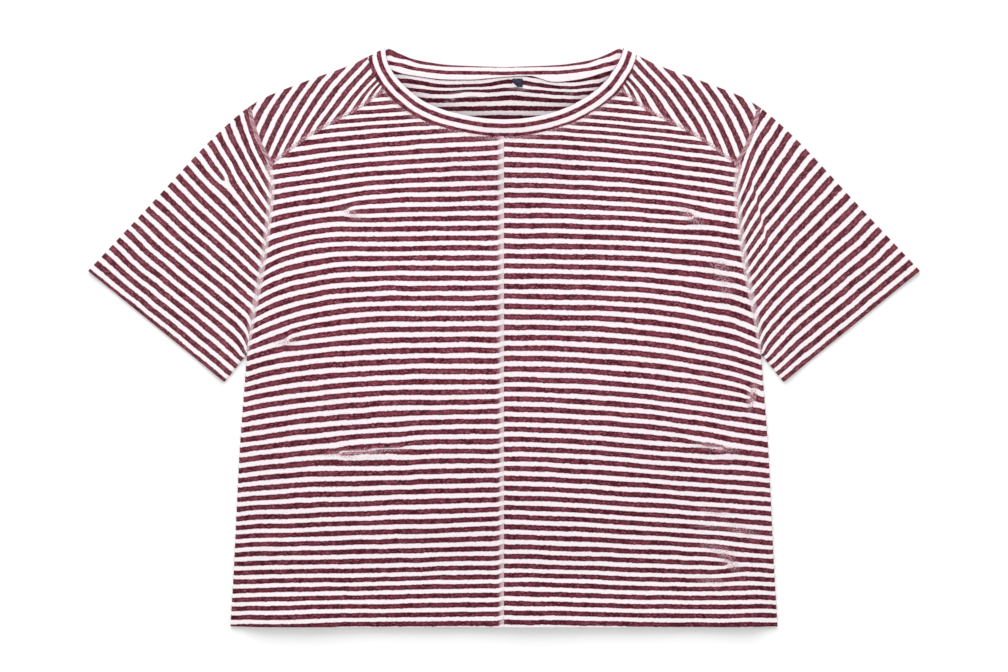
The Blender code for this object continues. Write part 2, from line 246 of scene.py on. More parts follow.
NECK_LINES = {
    Side.LEFT: NeckLines(
        lap=(17, -8.7),
        bow=3,
        forward=[(118.5, 246.6), (149.6, 225.2), (169, 215), (186.3, 205.3), (203, 194.5)],
        front=[(15, 201.2), (30, 203), (45, 206.1), (59, 209.4), (79.5, 216.4), (97, 226.9),
               (110, 237)],
        back=[(24, 258), (34, 257.5), (64, 258), (84, 260.6), (104, 264), (120, 270.5)],
        rim=[(15, 217.6), (30, 219.7), (45, 222.9), (60, 227.2), (80.7, 236.4),
             (94.1, 246.4), (104.6, 256.4), (112.1, 266.5), (117, 276.5)],
    ),
    Side.RIGHT: NeckLines(
        lap=(13.5, -7),
        bow=2.5,
        forward=[(115.8, 247), (139.3, 228.5), (161, 216.8), (181, 206.7), (198, 196.5)],
        front=[(15, 201.2), (30, 203.2), (45, 206.9), (60, 211.4), (75, 217.4), (88, 225.4),
               (103.5, 236.2)],
        back=[(27, 261.5), (37, 258.5), (46, 255.7), (56, 255.4), (71, 257.1), (84, 259.6),
              (96, 263.2), (119, 271)],
        rim=[(15, 217.6), (30, 219.7), (45, 223.2), (60, 228.6), (75.2, 236.5),
             (90.2, 246.4), (101.1, 256.4), (108.6, 266.5), (115.1, 276.5)],
    ),
}
# Where the front's neck seam, the back's, the front's rim and the back's cross the middle.
MIDDLE_NECK, MIDDLE_BACK_NECK, MIDDLE_RIM, MIDDLE_BACK_RIM = (
    np.array([0, height]) * MM for height in (200.7, 260.4, 216.9, 270.4)
)
BACK_RIM = [(54, 272.6), (74, 275.1), (86, 277.4), (94, 279.5), (104, 283.8), (111, 287.2),
            (115.5, 289)]
FOLDS = ("side", "sleeve_top", "shoulder", "underarm")


@dataclass
class Outline:
    """One half of the garment's plan, drawn on +X: its folded edges and its seams."""

    side: Side
    length: float = 579 * MM
    hem_rise: float = 0.7 * MM
    hem_width: float = 547.4 * MM
    chest_width: float = 514 * MM
    shoulder_width: float = 515.6 * MM
    span: float = 832 * MM
    neck_width: float = 239 * MM
    cuff_width: float = 175.9 * MM
    cuff_turn: float = math.radians(39.2)
    shoulder_drop: float = 60.5 * MM
    armpit_drop: float = 306.1 * MM
    cuff_drop: float = 222.8 * MM
    fold_radius: float = 2.1 * MM
    neck_columns: int = 56
    back_neck_columns: int = 34
    shoulder_columns: int = 44
    low_armhole_rows: int = 80
    high_armhole_rows: int = 26
    body_rows: int = 104
    sleeve_rows: int = 72
    lines: dict[str, Array] = field(init=False, default_factory=dict)

    def __post_init__(self) -> None:
        """Works out every edge and seam."""
        top, self.hem = self.length / 2, self.hem_rise - self.length / 2
        self.neck_point = np.array([self.neck_width / 2, top])
        self.neck_seam_point = self.neck_point + np.array(NECK_LINES[self.side].lap) * MM
        self.neck_lean = np.array([-0.35, -0.94])
        self.cuff_way = -np.array([math.cos(self.cuff_turn), math.sin(self.cuff_turn)])
        self.cuff_top = np.array([self.span / 2, top - self.cuff_drop])
        under_tip = np.array([self.chest_width / 2, top - self.armpit_drop])
        self.armpit = under_tip + np.array([-0.7, 3]) * MM
        self.draw_folds(top, under_tip)
        self.draw_seams()

    def draw_folds(self, top: float, under_tip: Array) -> None:
        """Draws the folded edges, and each again a fold's radius further in.

        Args:
            top: the height of the neck points.
            under_tip: where the side meets the underarm.
        """
        line, radius = self.lines, self.fold_radius
        side_hem = np.array([self.hem_width / 2, self.hem])
        shoulder = np.array([self.shoulder_width / 2, top - self.shoulder_drop])
        cuff_bottom = self.cuff_top + self.cuff_width * self.cuff_way
        line["side"] = curve(
            side_hem, [(270.4, -234), (264.5, -114.5), (260, -54)], under_tip, self.body_rows
        )
        line["sleeve_top"] = curve(
            self.cuff_top, [(348, 139), (300.5, 190.2), (274.5, 215)], shoulder,
            self.sleeve_rows,
        )
        line["shoulder"] = curve(
            shoulder, [(245, 237), (228, 245), (192.5, 258.5), (155, 272)],
            self.neck_seam_point, self.shoulder_columns,
        )
        line["underarm"] = spaced(np.array([under_tip, cuff_bottom]), self.sleeve_rows)
        inner = [line[name] + radius * normals_of(line[name]) for name in FOLDS]
        corner = (inner[1][-1] + inner[2][0]) / 2
        ends = (
            (side_hem - np.array([radius, 0]), self.armpit),
            (self.cuff_top + radius * self.cuff_way, corner),
            (corner, self.neck_seam_point + radius * self.neck_lean),
            (self.armpit, cuff_bottom - radius * self.cuff_way),
        )
        for name, points, (first, last) in zip(FOLDS, inner, ends):
            points[0], points[-1] = first, last
            line[f"{name}_in"] = points

    def draw_seams(self) -> None:
        """Draws the armhole, the shoulder seam, the neck, the cuff and the centre."""
        line, neck = self.lines, NECK_LINES[self.side]
        shoulder_in = line["shoulder_in"]
        low = curve(
            self.armpit, [(251, 16.5), (242, 60), (234.8, 109), (230.8, 150)],
            np.array([233.5, 171]) * MM, self.low_armhole_rows,
        )
        high = curve(low[-1], [(248.6, 199)], shoulder_in[0], self.high_armhole_rows)
        line["low_armhole"], line["high_armhole"] = low, high
        line["armhole"] = np.vstack([low, high[1:]])
        forward, *stations = neck.forward
        forward = np.array(forward) * MM
        line["forward"] = curve(forward, stations, low[-1], self.shoulder_columns)
        line["front_neck"] = curve(MIDDLE_NECK, neck.front, forward, self.neck_columns)
        bowed = (forward + shoulder_in[-1]) / 2 + np.array([neck.bow, 0]) * MM
        line["neck_side"] = smooth_line(
            np.array([forward, bowed, shoulder_in[-1]]), self.high_armhole_rows
        )
        line["back_neck"] = curve(
            MIDDLE_BACK_NECK, neck.back, shoulder_in[-1], self.back_neck_columns
        )
        cuff = np.array([line["underarm_in"][-1], line["sleeve_top_in"][0]])
        line["cuff"] = spaced(cuff, len(line["armhole"]) - 1)
        line["centre"] = np.array([[0, self.hem - 10 * MM], [0, 200.8 * MM]])

    def near(self, name: str, places: Array) -> tuple[Array, Array]:
        """How far folded places are from the named line, and how far along it they lie."""
        return nearest(spaced(self.lines[name], 36), places)


# --- How it lies.


class Crease(NamedTuple):
    """A soft ridge, or a trough if its height is negative, in mm and degrees."""

    x: float
    y: float
    turn: float
    length: float
    width: float
    height: float


UPPER_CREASES = tuple(starmap(Crease, (
    (-132, -113, 5, 96, 20, 1.5), (-128, -128, 4, 84, 18, -0.7), (-155, 127, 8, 40, 12, 1.1),
    (-170, 60, -32, 150, 34, 1.1), (-214, 6, -58, 64, 16, 1.0), (-236, -204, 14, 74, 20, 1.3),
    (-240, -222, 12, 60, 16, -0.6), (-226, -70, 76, 120, 26, 0.8), (-60, 186, -14, 84, 20, 0.7),
    (-40, 52, 3, 190, 44, 0.6), (-66, -176, 2, 170, 40, 0.6), (-120, -262, 4, 120, 26, 0.7),
    (-196, 196, 36, 70, 20, 0.8), (-286, 150, 48, 92, 22, 1.5), (-332, 88, 50, 110, 28, 0.9),
    (-300, 34, 36, 90, 22, 0.9), (-268, 86, 64, 84, 20, -0.6), (224, 62, -52, 74, 22, 1.5),
    (230, 78, -60, 60, 18, -0.6), (186, 124, -8, 40, 12, 1.1), (246, -66, 64, 36, 10, 1.2),
    (216, -110, -6, 84, 18, 1.4), (212, -126, -6, 72, 18, -0.7), (222, -215, -38, 112, 24, 1.6),
    (204, -200, -38, 92, 22, -0.7), (206, -242, -16, 90, 20, 1.0), (66, 184, 14, 84, 20, 0.7),
    (84, -36, -4, 200, 44, 0.6), (96, -190, -3, 180, 42, 0.6), (70, 96, -6, 150, 40, 0.5),
    (198, 196, -38, 70, 20, 0.8), (260, 125, -76, 66, 13, 1.3), (296, 132, -50, 100, 24, 1.5),
    (334, 84, -50, 110, 28, 0.9), (302, 28, -36, 90, 22, 1.0), (-8, 178, 86, 60, 12, 0.5),
    (9, -140, 88, 120, 12, 0.4), (-257, 0, -77, 44, 6, -1.6), (-262, 2, -77, 40, 6, 1.2),
    (256, -2, 77, 40, 6, -1.4), (262, 2, 77, 36, 6, 1.1), (219, 68, -55, 30, 5, -1.8),
    (224, 55, -40, 26, 5, -1.2), (-132, -113, 5, 80, 5, -0.8), (209, -110, -8, 40, 5, -0.6),
    (248, -59, 78, 30, 5, -0.8),
)))
UNDER_CREASES = tuple(starmap(Crease, (
    (-44, 238, 6, 90, 14, 0.9), (38, 242, -8, 84, 14, 1.0), (2, 224, 2, 120, 16, 0.8),
    (-84, 246, -28, 44, 12, 0.7), (86, 247, 30, 44, 12, 0.7), (-120, 120, 24, 160, 26, 0.6),
    (130, 96, -30, 150, 26, 0.6), (-150, -60, -12, 190, 30, 0.7), (140, -90, 10, 200, 30, 0.7),
    (-40, -190, 4, 220, 30, 0.6), (60, 10, -3, 210, 28, 0.6), (200, -220, 40, 90, 22, 0.7),
    (-206, -226, -36, 90, 22, 0.7), (-300, 90, 44, 120, 22, 0.6), (302, 86, -46, 120, 22, 0.6),
)))


def beside(mark: NamedTuple, points: Array) -> tuple[Array, Array]:
    """Measures from a turned mark.

    Args:
        mark: a crease, a tuck or a patch.
        points: places in mm.

    Returns:
        How far the places are along the mark and across it, in mm.
    """
    turn = math.radians(mark.turn)
    x, y = (points - (mark.x, mark.y)).T
    return x * math.cos(turn) + y * math.sin(turn), y * math.cos(turn) - x * math.sin(turn)


def crease_height(creases: tuple[Crease, ...], places: Array) -> Array:
    """Adds up the creases.

    Args:
        creases: the creases.
        places: places in plan.

    Returns:
        The height that they add, in metres.
    """
    total = np.zeros(len(places))
    for crease in creases:
        along, across = beside(crease, places / MM)
        across = across + 0.04 * crease.length * np.sin(3.1 * along / crease.length)
        fade = smooth_step(1 - np.abs(2 * along / crease.length))
        total += crease.height * MM * fade * np.exp(-((2 * across / crease.width) ** 2))
    return total


@dataclass
class Lay:
    """How high each layer of the flat garment stands."""

    outline: Outline
    resting: float = 3.5 * MM
    edge_reach: float = 34 * MM
    neck_rise: float = 9.8 * MM
    neck_reach: float = 85 * MM
    seam_dip: float = 0.45 * MM
    seam_spread: float = 2.4 * MM
    pucker: float = 0.2 * MM
    pucker_step: float = 9.5 * MM
    pucker_reach: float = 12 * MM
    hem_lift: float = 8.8 * MM
    cuff_drop: float = 0.9 * MM
    hem_reach: float = 58 * MM
    unevenness: float = 0.3 * MM

    def edge_share(self, folded: Array) -> Array:
        """Tells how near the folded edges are.

        Args:
            folded: places brought to +X.

        Returns:
            1 at a folded edge, 0 a little way in.
        """
        gaps = [self.outline.near(name, folded)[0] for name in FOLDS]
        radius = self.outline.fold_radius
        return 1 - smooth_step((np.min(gaps, axis=0) - radius) / (self.edge_reach - radius))

    def seams(self, folded: Array) -> Array:
        """Draws the soft groove along each seam, and the puckers beside it.

        Args:
            folded: places brought to +X.

        Returns:
            The height that they add to the upper layer.
        """
        total = np.zeros(len(folded))
        for name in ("armhole", "forward", "front_neck", "centre"):
            gap, along = self.outline.near(name, folded)
            total -= self.seam_dip * bell(gap, self.seam_spread)
            beat = np.cos(TAU * along / self.pucker_step + 2 * np.sin(along / (31 * MM)))
            close = np.exp(-gap / self.pucker_reach) * (1 - np.exp(-gap / (3 * MM)))
            total += self.pucker * beat * close
        return total

    def open_edges(self, folded: Array, places: Array) -> Array:
        """Lifts the hem off the layer below, and lets the cuffs sink.

        Args:
            folded: places brought to +X.
            places: the same places, signed.

        Returns:
            The height that this adds to the upper layer.
        """
        x = places[:, 0]
        hem_gap = places[:, 1] - self.outline.hem
        waves = 0.8 + 0.12 * np.sin(x / (41 * MM) + 0.6) + 0.06 * np.sin(x / (17.5 * MM))
        cuff_gap, along = self.outline.near("cuff", folded)
        cuff_waves = 0.8 + 0.2 * np.sin(along / (23 * MM) + np.sign(x))
        lift = waves * smooth_step(1 - hem_gap / self.hem_reach)
        cuff = cuff_waves * smooth_step(1 - cuff_gap / self.hem_reach)
        return self.hem_lift * lift - self.cuff_drop * cuff

    def under(self, places: Array) -> Array:
        """Height of the under layer's outer face, which lies on the surface."""
        edge = self.edge_share(folded_over(places))
        return crease_height(UNDER_CREASES, places) * (1 - edge)

    def upper(self, places: Array) -> Array:
        """Tells how high the upper layer lies.

        Args:
            places: signed places in plan.

        Returns:
            The height of its outer face.
        """
        folded = folded_over(places)
        edge = self.edge_share(folded)
        height = self.resting + (2 * self.outline.fold_radius - self.resting) * edge
        centred = np.minimum(folded[:, 0] / (self.outline.neck_width / 2), 1.0)
        across = np.cos(0.5 * math.pi * centred) ** 2
        gap, _ = self.outline.near("front_neck", folded)
        height = height + self.neck_rise * across * smooth_step(1 - gap / self.neck_reach)
        rough = [
            noise.noise(Vector((x / 0.030, y / 0.022, 0.4)))
            + 0.45 * noise.noise(Vector((x / 0.011, y / 0.008, 2.7)))
            for x, y in places.tolist()
        ]
        loose = crease_height(UPPER_CREASES, places) + crease_height(UNDER_CREASES, places)
        loose += self.unevenness * np.array(rough) + self.open_edges(folded, places)
        return height + loose * (1 - edge) + self.seams(folded)


# --- Stripes.


class StripeRow(NamedTuple):
    """One height of the front's stripes."""

    height: float
    count: float
    drop: float
    bend: float


class Slip(NamedTuple):
    """A place where one dark stripe ends and its neighbours close up, in mm."""

    x: float
    y: float


class Patch(NamedTuple):
    """A soft oval where the stripes are worn into flecks or faded, in mm and degrees."""

    x: float
    y: float
    turn: float
    length: float
    width: float
    wear_and_shade: float
    fade: float = 0.0


class Drift(NamedTuple):
    """A place where the stripes lie a little lower or higher, in mm and stripe pairs."""

    x: float
    y: float
    wide: float
    high: float
    pairs: float


class Tuck(NamedTuple):
    """A fold line across which the stripes jump, in mm, degrees and stripe pairs."""

    x: float
    y: float
    turn: float
    length: float
    reach: float
    jump: float


FRONT_ROWS = {
    Side.LEFT: tuple(starmap(StripeRow, (
        (-299, -49.2, 7.2, 1.6), (-281.2, -47.6, 7.2, 1.6), (-222.5, -41.25, 10.2, 1.0),
        (-162.5, -35.05, 15.9, 1.35), (-102.5, -28.85, 17.2, 2.2), (-42.5, -22.8, 18.9, 3.4),
        (27.5, -16.2, 28, 4.7), (87.5, -10.2, 36.1, 7.5), (137.5, -5.2, 17.3, 3.2),
        (187.5, -0.12, 14.3, 1.9), (206.5, 1.87, 14.3, 1.9), (234, 5.43, 14.3, 1.9),
        (260, 8.85, 14.3, 1.9),
    ))),
    Side.RIGHT: tuple(starmap(StripeRow, (
        (-298.8, -49.4, 9.8, 1.3), (-281, -47.75, 9.8, 1.3), (-222.5, -41.4, 13.9, 1.3),
        (-162.5, -35.25, 18.6, 1.3), (-102.5, -29.1, 22.1, 1.6), (-42.5, -23.05, 22.2, 2.0),
        (27.5, -16.35, 28.7, 3.3), (87.5, -10.4, 20.6, 4.1), (137.5, -5.5, 14, 2.15),
        (187.5, -0.45, 17.5, 1.8), (199.4, 0.93, 17.5, 1.8), (218, 3.4, 17.5, 1.8),
        (239, 5.9, 17.5, 1.8), (262, 8.8, 17.5, 1.8),
    ))),
}
FRONT_SLIPS = {
    Side.LEFT: (Slip(155, 125.2), Slip(214, -3.2), Slip(164, -116.2)),
    Side.RIGHT: (Slip(188, 120.4), Slip(247, -58.5), Slip(219, -110.8), Slip(223, -225.6)),
}
FRONT_PATCHES = tuple(starmap(Patch, (
    (-152, 124, -30, 20, 8, 0.6), (-217, -4, 14, 24, 7, 0.6), (-140, -114, 5, 96, 6, 0.9),
    (-159, -118, -10, 26, 9, 0.6, 0.1), (-240, -206, 14, 50, 18, 0.25),
    (187, 121, -38, 26, 9, 0.75), (248, -59, 78, 28, 8, 0.8, 0.1),
    (212, -110, -8, 50, 9, 0.8), (224, -222, -50, 40, 15, 0.75), (216, 72, -18, 22, 11, 0.5),
    (219, 58, -28, 20, 9, 0.5), (222, 46, -24, 16, 8, 0.4), (212, -175, -8, 48, 8, 0.6),
    (204, -189, -4, 44, 8, 0.52), (238, -193, -16, 44, 15, 0.6),
    (214, -212, -14, 50, 13, 0.62), (208, -243, -10, 50, 12, 0.56),
)))
FRONT_DRIFTS = (
    Drift(-204, 60, 26, 40, 0.13),
    Drift(-128, -88, 42, 13, 0.2),
    Drift(-250, -195, 24, 30, -0.12),
    Drift(233, 35, 20, 55, -0.2),
    Drift(250, -255, 28, 40, -0.18),
)
FRONT_TUCKS = (
    Tuck(-132, -112.6, 5, 104, 7, 0.9),
    Tuck(205, -108.6, -8, 56, 7, 0.58),
    Tuck(248, -59, 78, 34, 6, 0.4),
)


def tuck_jumps(tucks: tuple[Tuck, ...], points: Array) -> Array:
    """Adds up the tucks.

    Args:
        tucks: the tucks.
        points: places in mm.

    Returns:
        The stripe pairs that they add to the count.
    """
    total = np.zeros(len(points))
    for tuck in tucks:
        along, across = beside(tuck, points)
        fade = smooth_step(1.4 * (1 - np.abs(2 * along / tuck.length)))
        side = np.tanh(across / 0.6) * np.exp(-np.abs(across) / tuck.reach)
        total += tuck.jump / 2 * fade * side
    return total


def drift_pairs(drifts: tuple[Drift, ...], points: Array) -> Array:
    """Adds up the drifts.

    Args:
        drifts: the drifts.
        points: places in mm.

    Returns:
        The stripe pairs that they add to the count.
    """
    total = np.zeros(len(points))
    for drift in drifts:
        across, up = (points - drift[:2]).T / [[drift.wide], [drift.high]]
        total += drift.pairs * np.exp(-(across**2) - up**2)
    return total


def patch_amounts(patches: tuple[Patch, ...], points: Array) -> tuple[Array, Array]:
    """Reads the patches.

    Args:
        patches: the patches.
        points: places in mm.

    Returns:
        How worn and how faded the cloth is, each from 0 to 1.
    """
    wear_and_shade, fade = np.zeros(len(points)), np.zeros(len(points))
    for patch in patches:
        along, across = beside(patch, points)
        along, across = along / (patch.length / 2), across / (patch.width / 2)
        amount = np.exp(-((along**2 + across**2) ** 1.5))
        wear_and_shade = np.maximum(wear_and_shade, patch.wear_and_shade * amount)
        fade = np.maximum(fade, patch.fade * amount)
    return wear_and_shade, fade


def slip_turn(slips: tuple[Slip, ...], x: Array, y: Array) -> Array:
    """The angle that the slips add to the stripes' count."""
    return sum(np.arctan2(y - slip.y, slip.x - x) for slip in slips)


@dataclass
class Weave:
    """What the cloth carries at each point.

    Its place along and across the stripes, its slips' angle, its fade, and its wear_and_shade,
    which is above 0 where worn, below 0 where the dark stripes are deeper and plain, and
    below -1 on the back's inner face, where it carries painted shade that greys the whites.
    """

    along: Array
    count: Array
    turn: Array
    fade: Array
    wear_and_shade: Array

    def columns(self) -> Array:
        """The six numbers that each vertex keeps."""
        return np.column_stack(
            [self.along, self.count, self.wear_and_shade, np.cos(self.turn), np.sin(self.turn), self.fade]
        )


def plain_columns(along: float, count: Array) -> Array:
    """The six numbers across a row of cloth with no slips, fade or wear."""
    none = np.zeros(len(count))
    return Weave(np.full(len(count), along), count, none, none, none).columns()


class FrontStripes:
    """Stripes across one front half: level at the middle, falling to the side."""

    HALF_CHEST = 260
    ROUNDS = 14
    MIDDLE_DROP = 0.2
    ARMHOLE_FADE = 0.35
    NECK_WEAR = 0.6
    DEEPER = 0.5  # how much darker the dark stripes get below the stripe pair numbered DEEP, towards the hem
    DEEP = -16
    STRIP_WIDTH = 5.6
    STRIP_WEAR = 0.12

    def __init__(self, outline: Outline) -> None:
        """Keeps the seams that the stripes fade beside."""
        self.outline = outline

    def counted(self, points: Array) -> tuple[Array, Array]:
        """Counts the stripes upwards.

        Args:
            points: folded places in mm.

        Returns:
            The count and the slips' angle.
        """
        side = self.outline.side
        heights, counts, drops, bends = np.array(FRONT_ROWS[side]).T
        x, y = points.T
        slips = FRONT_SLIPS[side]
        push = -PAIR / TAU * slip_turn(slips, np.zeros(len(y)), y)
        height = y.copy()
        for _ in range(self.ROUNDS):
            bend = np.interp(height, heights, bends)
            height = y + np.interp(height, heights, drops) * (x / self.HALF_CHEST) ** bend + push
        count = np.interp(height, heights, counts)
        if side is Side.LEFT:
            count = count - self.MIDDLE_DROP * smooth_step((7.5 - x) / 7)
        return count, slip_turn(slips, x, y)

    def read(self, places: Array) -> Weave:
        """Reads the front's weave.

        Args:
            places: signed places in metres.

        Returns:
            The weave.
        """
        points, folded = places / MM, folded_over(places)
        count, turn = self.counted(folded / MM)
        count = count + tuck_jumps(FRONT_TUCKS, points) + drift_pairs(FRONT_DRIFTS, points)
        x, y = np.abs(points[:, 0]), points[:, 1]
        wear_and_shade, fade = patch_amounts(FRONT_PATCHES, points)
        gap, _ = self.outline.near("low_armhole", folded)
        fade = np.maximum(fade, self.ARMHOLE_FADE * bell(gap, 1.4 * MM, 4))
        gap, _ = self.outline.near("front_neck", folded)
        spread = 2.6 + 1.8 * smooth_step((45 - x) / 35)
        wear_and_shade = np.maximum(wear_and_shade, self.NECK_WEAR * bell(gap, spread * MM, 3))
        wear_and_shade = wear_and_shade - self.DEEPER * smooth_step((self.DEEP - count) / 24) * (1 - wear_and_shade)
        if self.outline.side is Side.LEFT:
            strip = smooth_step((self.STRIP_WIDTH - x) / 1.2)
            paling = 0.26 + 0.12 * smooth_step((y + 150) / 250)
            paling = paling + 0.42 * smooth_step((4.2 - x) / 2.6)
            fade = np.maximum(fade, paling * strip)
            wear_and_shade = wear_and_shade + (self.STRIP_WEAR - wear_and_shade) * strip
        return Weave(points[:, 0] / PAIR, count, turn, fade, wear_and_shade)


class ShoulderStripes:
    """Stripes of the shoulder that the back carries over to the front."""

    BASES = {Side.LEFT: 4.24, Side.RIGHT: 4.31}
    SLOPES = (-0.084, -0.054, 0.0001, -0.00025)  # of the count, in x, y, xy and y squared
    MIDDLE = (190, 230)
    MATCH_REACH = 18 * MM
    SEAM_WEAR = 0.5
    SEAM_FADE = 0.1
    LEAST_FADE = 0.015
    GRAIN = (-0.541, 0.841)  # the way that the stripes run

    def __init__(self, outline: Outline, front: FrontStripes) -> None:
        """Matches the stripes to the front's at the forward seam.

        Args:
            outline: the half's plan.
            front: the front's stripes.
        """
        self.outline = outline
        self.seam = spaced(outline.lines["forward"], 36)
        count, turn = front.counted(self.seam / MM)
        shift = np.unwrap(count + turn / TAU - self.raw(self.seam / MM), period=1)
        self.shift = shift - round(float(np.median(shift)))

    def raw(self, points: Array) -> Array:
        """Counts the stripes before they are matched.

        Args:
            points: folded places in mm.

        Returns:
            The count.
        """
        x, y = (points - self.MIDDLE).T
        terms = zip(self.SLOPES, (x, y, x * y, y**2))
        return self.BASES[self.outline.side] + sum(slope * term for slope, term in terms)

    def read(self, places: Array) -> Weave:
        """Reads the carried-over shoulder's weave.

        Args:
            places: signed places in metres.

        Returns:
            The weave.
        """
        folded = folded_over(places)
        gap, along = nearest(self.seam, folded)
        shift = np.interp(along, running_length(self.seam), self.shift)
        count = self.raw(folded / MM) + shift * smooth_step(1 - gap / self.MATCH_REACH)
        wear_and_shade = self.SEAM_WEAR * bell(gap, 2.8 * MM, 4)
        fade = self.LEAST_FADE + self.SEAM_FADE * bell(gap, 3 * MM, 4)
        gap, _ = self.outline.near("high_armhole", folded)
        wear_and_shade = np.maximum(wear_and_shade, self.SEAM_WEAR * bell(gap, 3.4 * MM, 4))
        along = (folded / MM - self.MIDDLE) @ self.GRAIN / PAIR
        return Weave(along, count, np.zeros(len(count)), fade, wear_and_shade)


class BackStripes:
    """Level stripes of the back, which lean into the shoulders' stripes at their fold."""

    PATCHES = (
        Patch(-38, 242.6, 0, 30, 3.4, 0.0, 0.95),
        Patch(-54, 236.4, 60, 9, 2, 0.0, 0.85),
        Patch(70, 243.5, -24, 18, 1.2, 0.0, 0.8),
        Patch(18, 250, 0, 20, 3, 0.3, 0.5),
    )
    HEIGHTS = (-300, -60, 150, 211, 220, 229, 237.5, 245.3, 251.3, 300)
    COUNTS = (-51.9, -27.9, -7, -1, 0, 1, 2, 3, 4, 10)
    DRIFTS = (Drift(-34, 245, 13, 5, -0.3),)
    FOLD_REACH = 28 * MM

    def __init__(self, outline: Outline, shoulders: ShoulderStripes) -> None:
        """Keeps the shoulders' stripes, which it meets at the fold."""
        self.outline = outline
        self.shoulders = shoulders

    def level(self, points: Array) -> Array:
        """Counts the level stripes, which sway inside the neck.

        Args:
            points: signed places in mm.

        Returns:
            The count.
        """
        x, y = points.T
        high = smooth_step((y - 226) / 30)
        sway = 0.62 * bell(x - 8, 24)
        left = 0.75 * smooth_step((-56 - x) / 52)
        right = 0.42 * smooth_step((x - 66) / 30) - 0.3 * smooth_step((x - 36) / 24)
        ends = np.where(x < 0, left, right) + 0.5 * smooth_step((x - 93) / 14)
        low = 0.9 * (np.abs(x) / FrontStripes.HALF_CHEST) ** 2.2
        count = np.interp(y, self.HEIGHTS, self.COUNTS) + drift_pairs(self.DRIFTS, points)
        return count + low * (1 - high) - (sway + ends) * high

    def read(self, places: Array) -> Weave:
        """Reads the under layer's weave.

        Args:
            places: signed places in metres.

        Returns:
            The weave.
        """
        points, folded = places / MM, folded_over(places)
        line = self.outline.lines["shoulder"]
        gap, along = nearest(line, folded)
        lengths = running_length(line)
        foot = np.column_stack([np.interp(along, lengths, axis) for axis in line.T])
        close = smooth_step(1 - gap / self.FOLD_REACH)
        over = self.shoulders.read(2 * foot - folded)
        count = self.level(points)
        count = count + (over.count - count) * close
        wear_and_shade, fade = patch_amounts(self.PATCHES, points)
        along = points[:, 0] / PAIR * (1 - close) + over.along * close
        return Weave(along, count, np.zeros(len(count)), fade, wear_and_shade - (1 - wear_and_shade) * (1 - close))


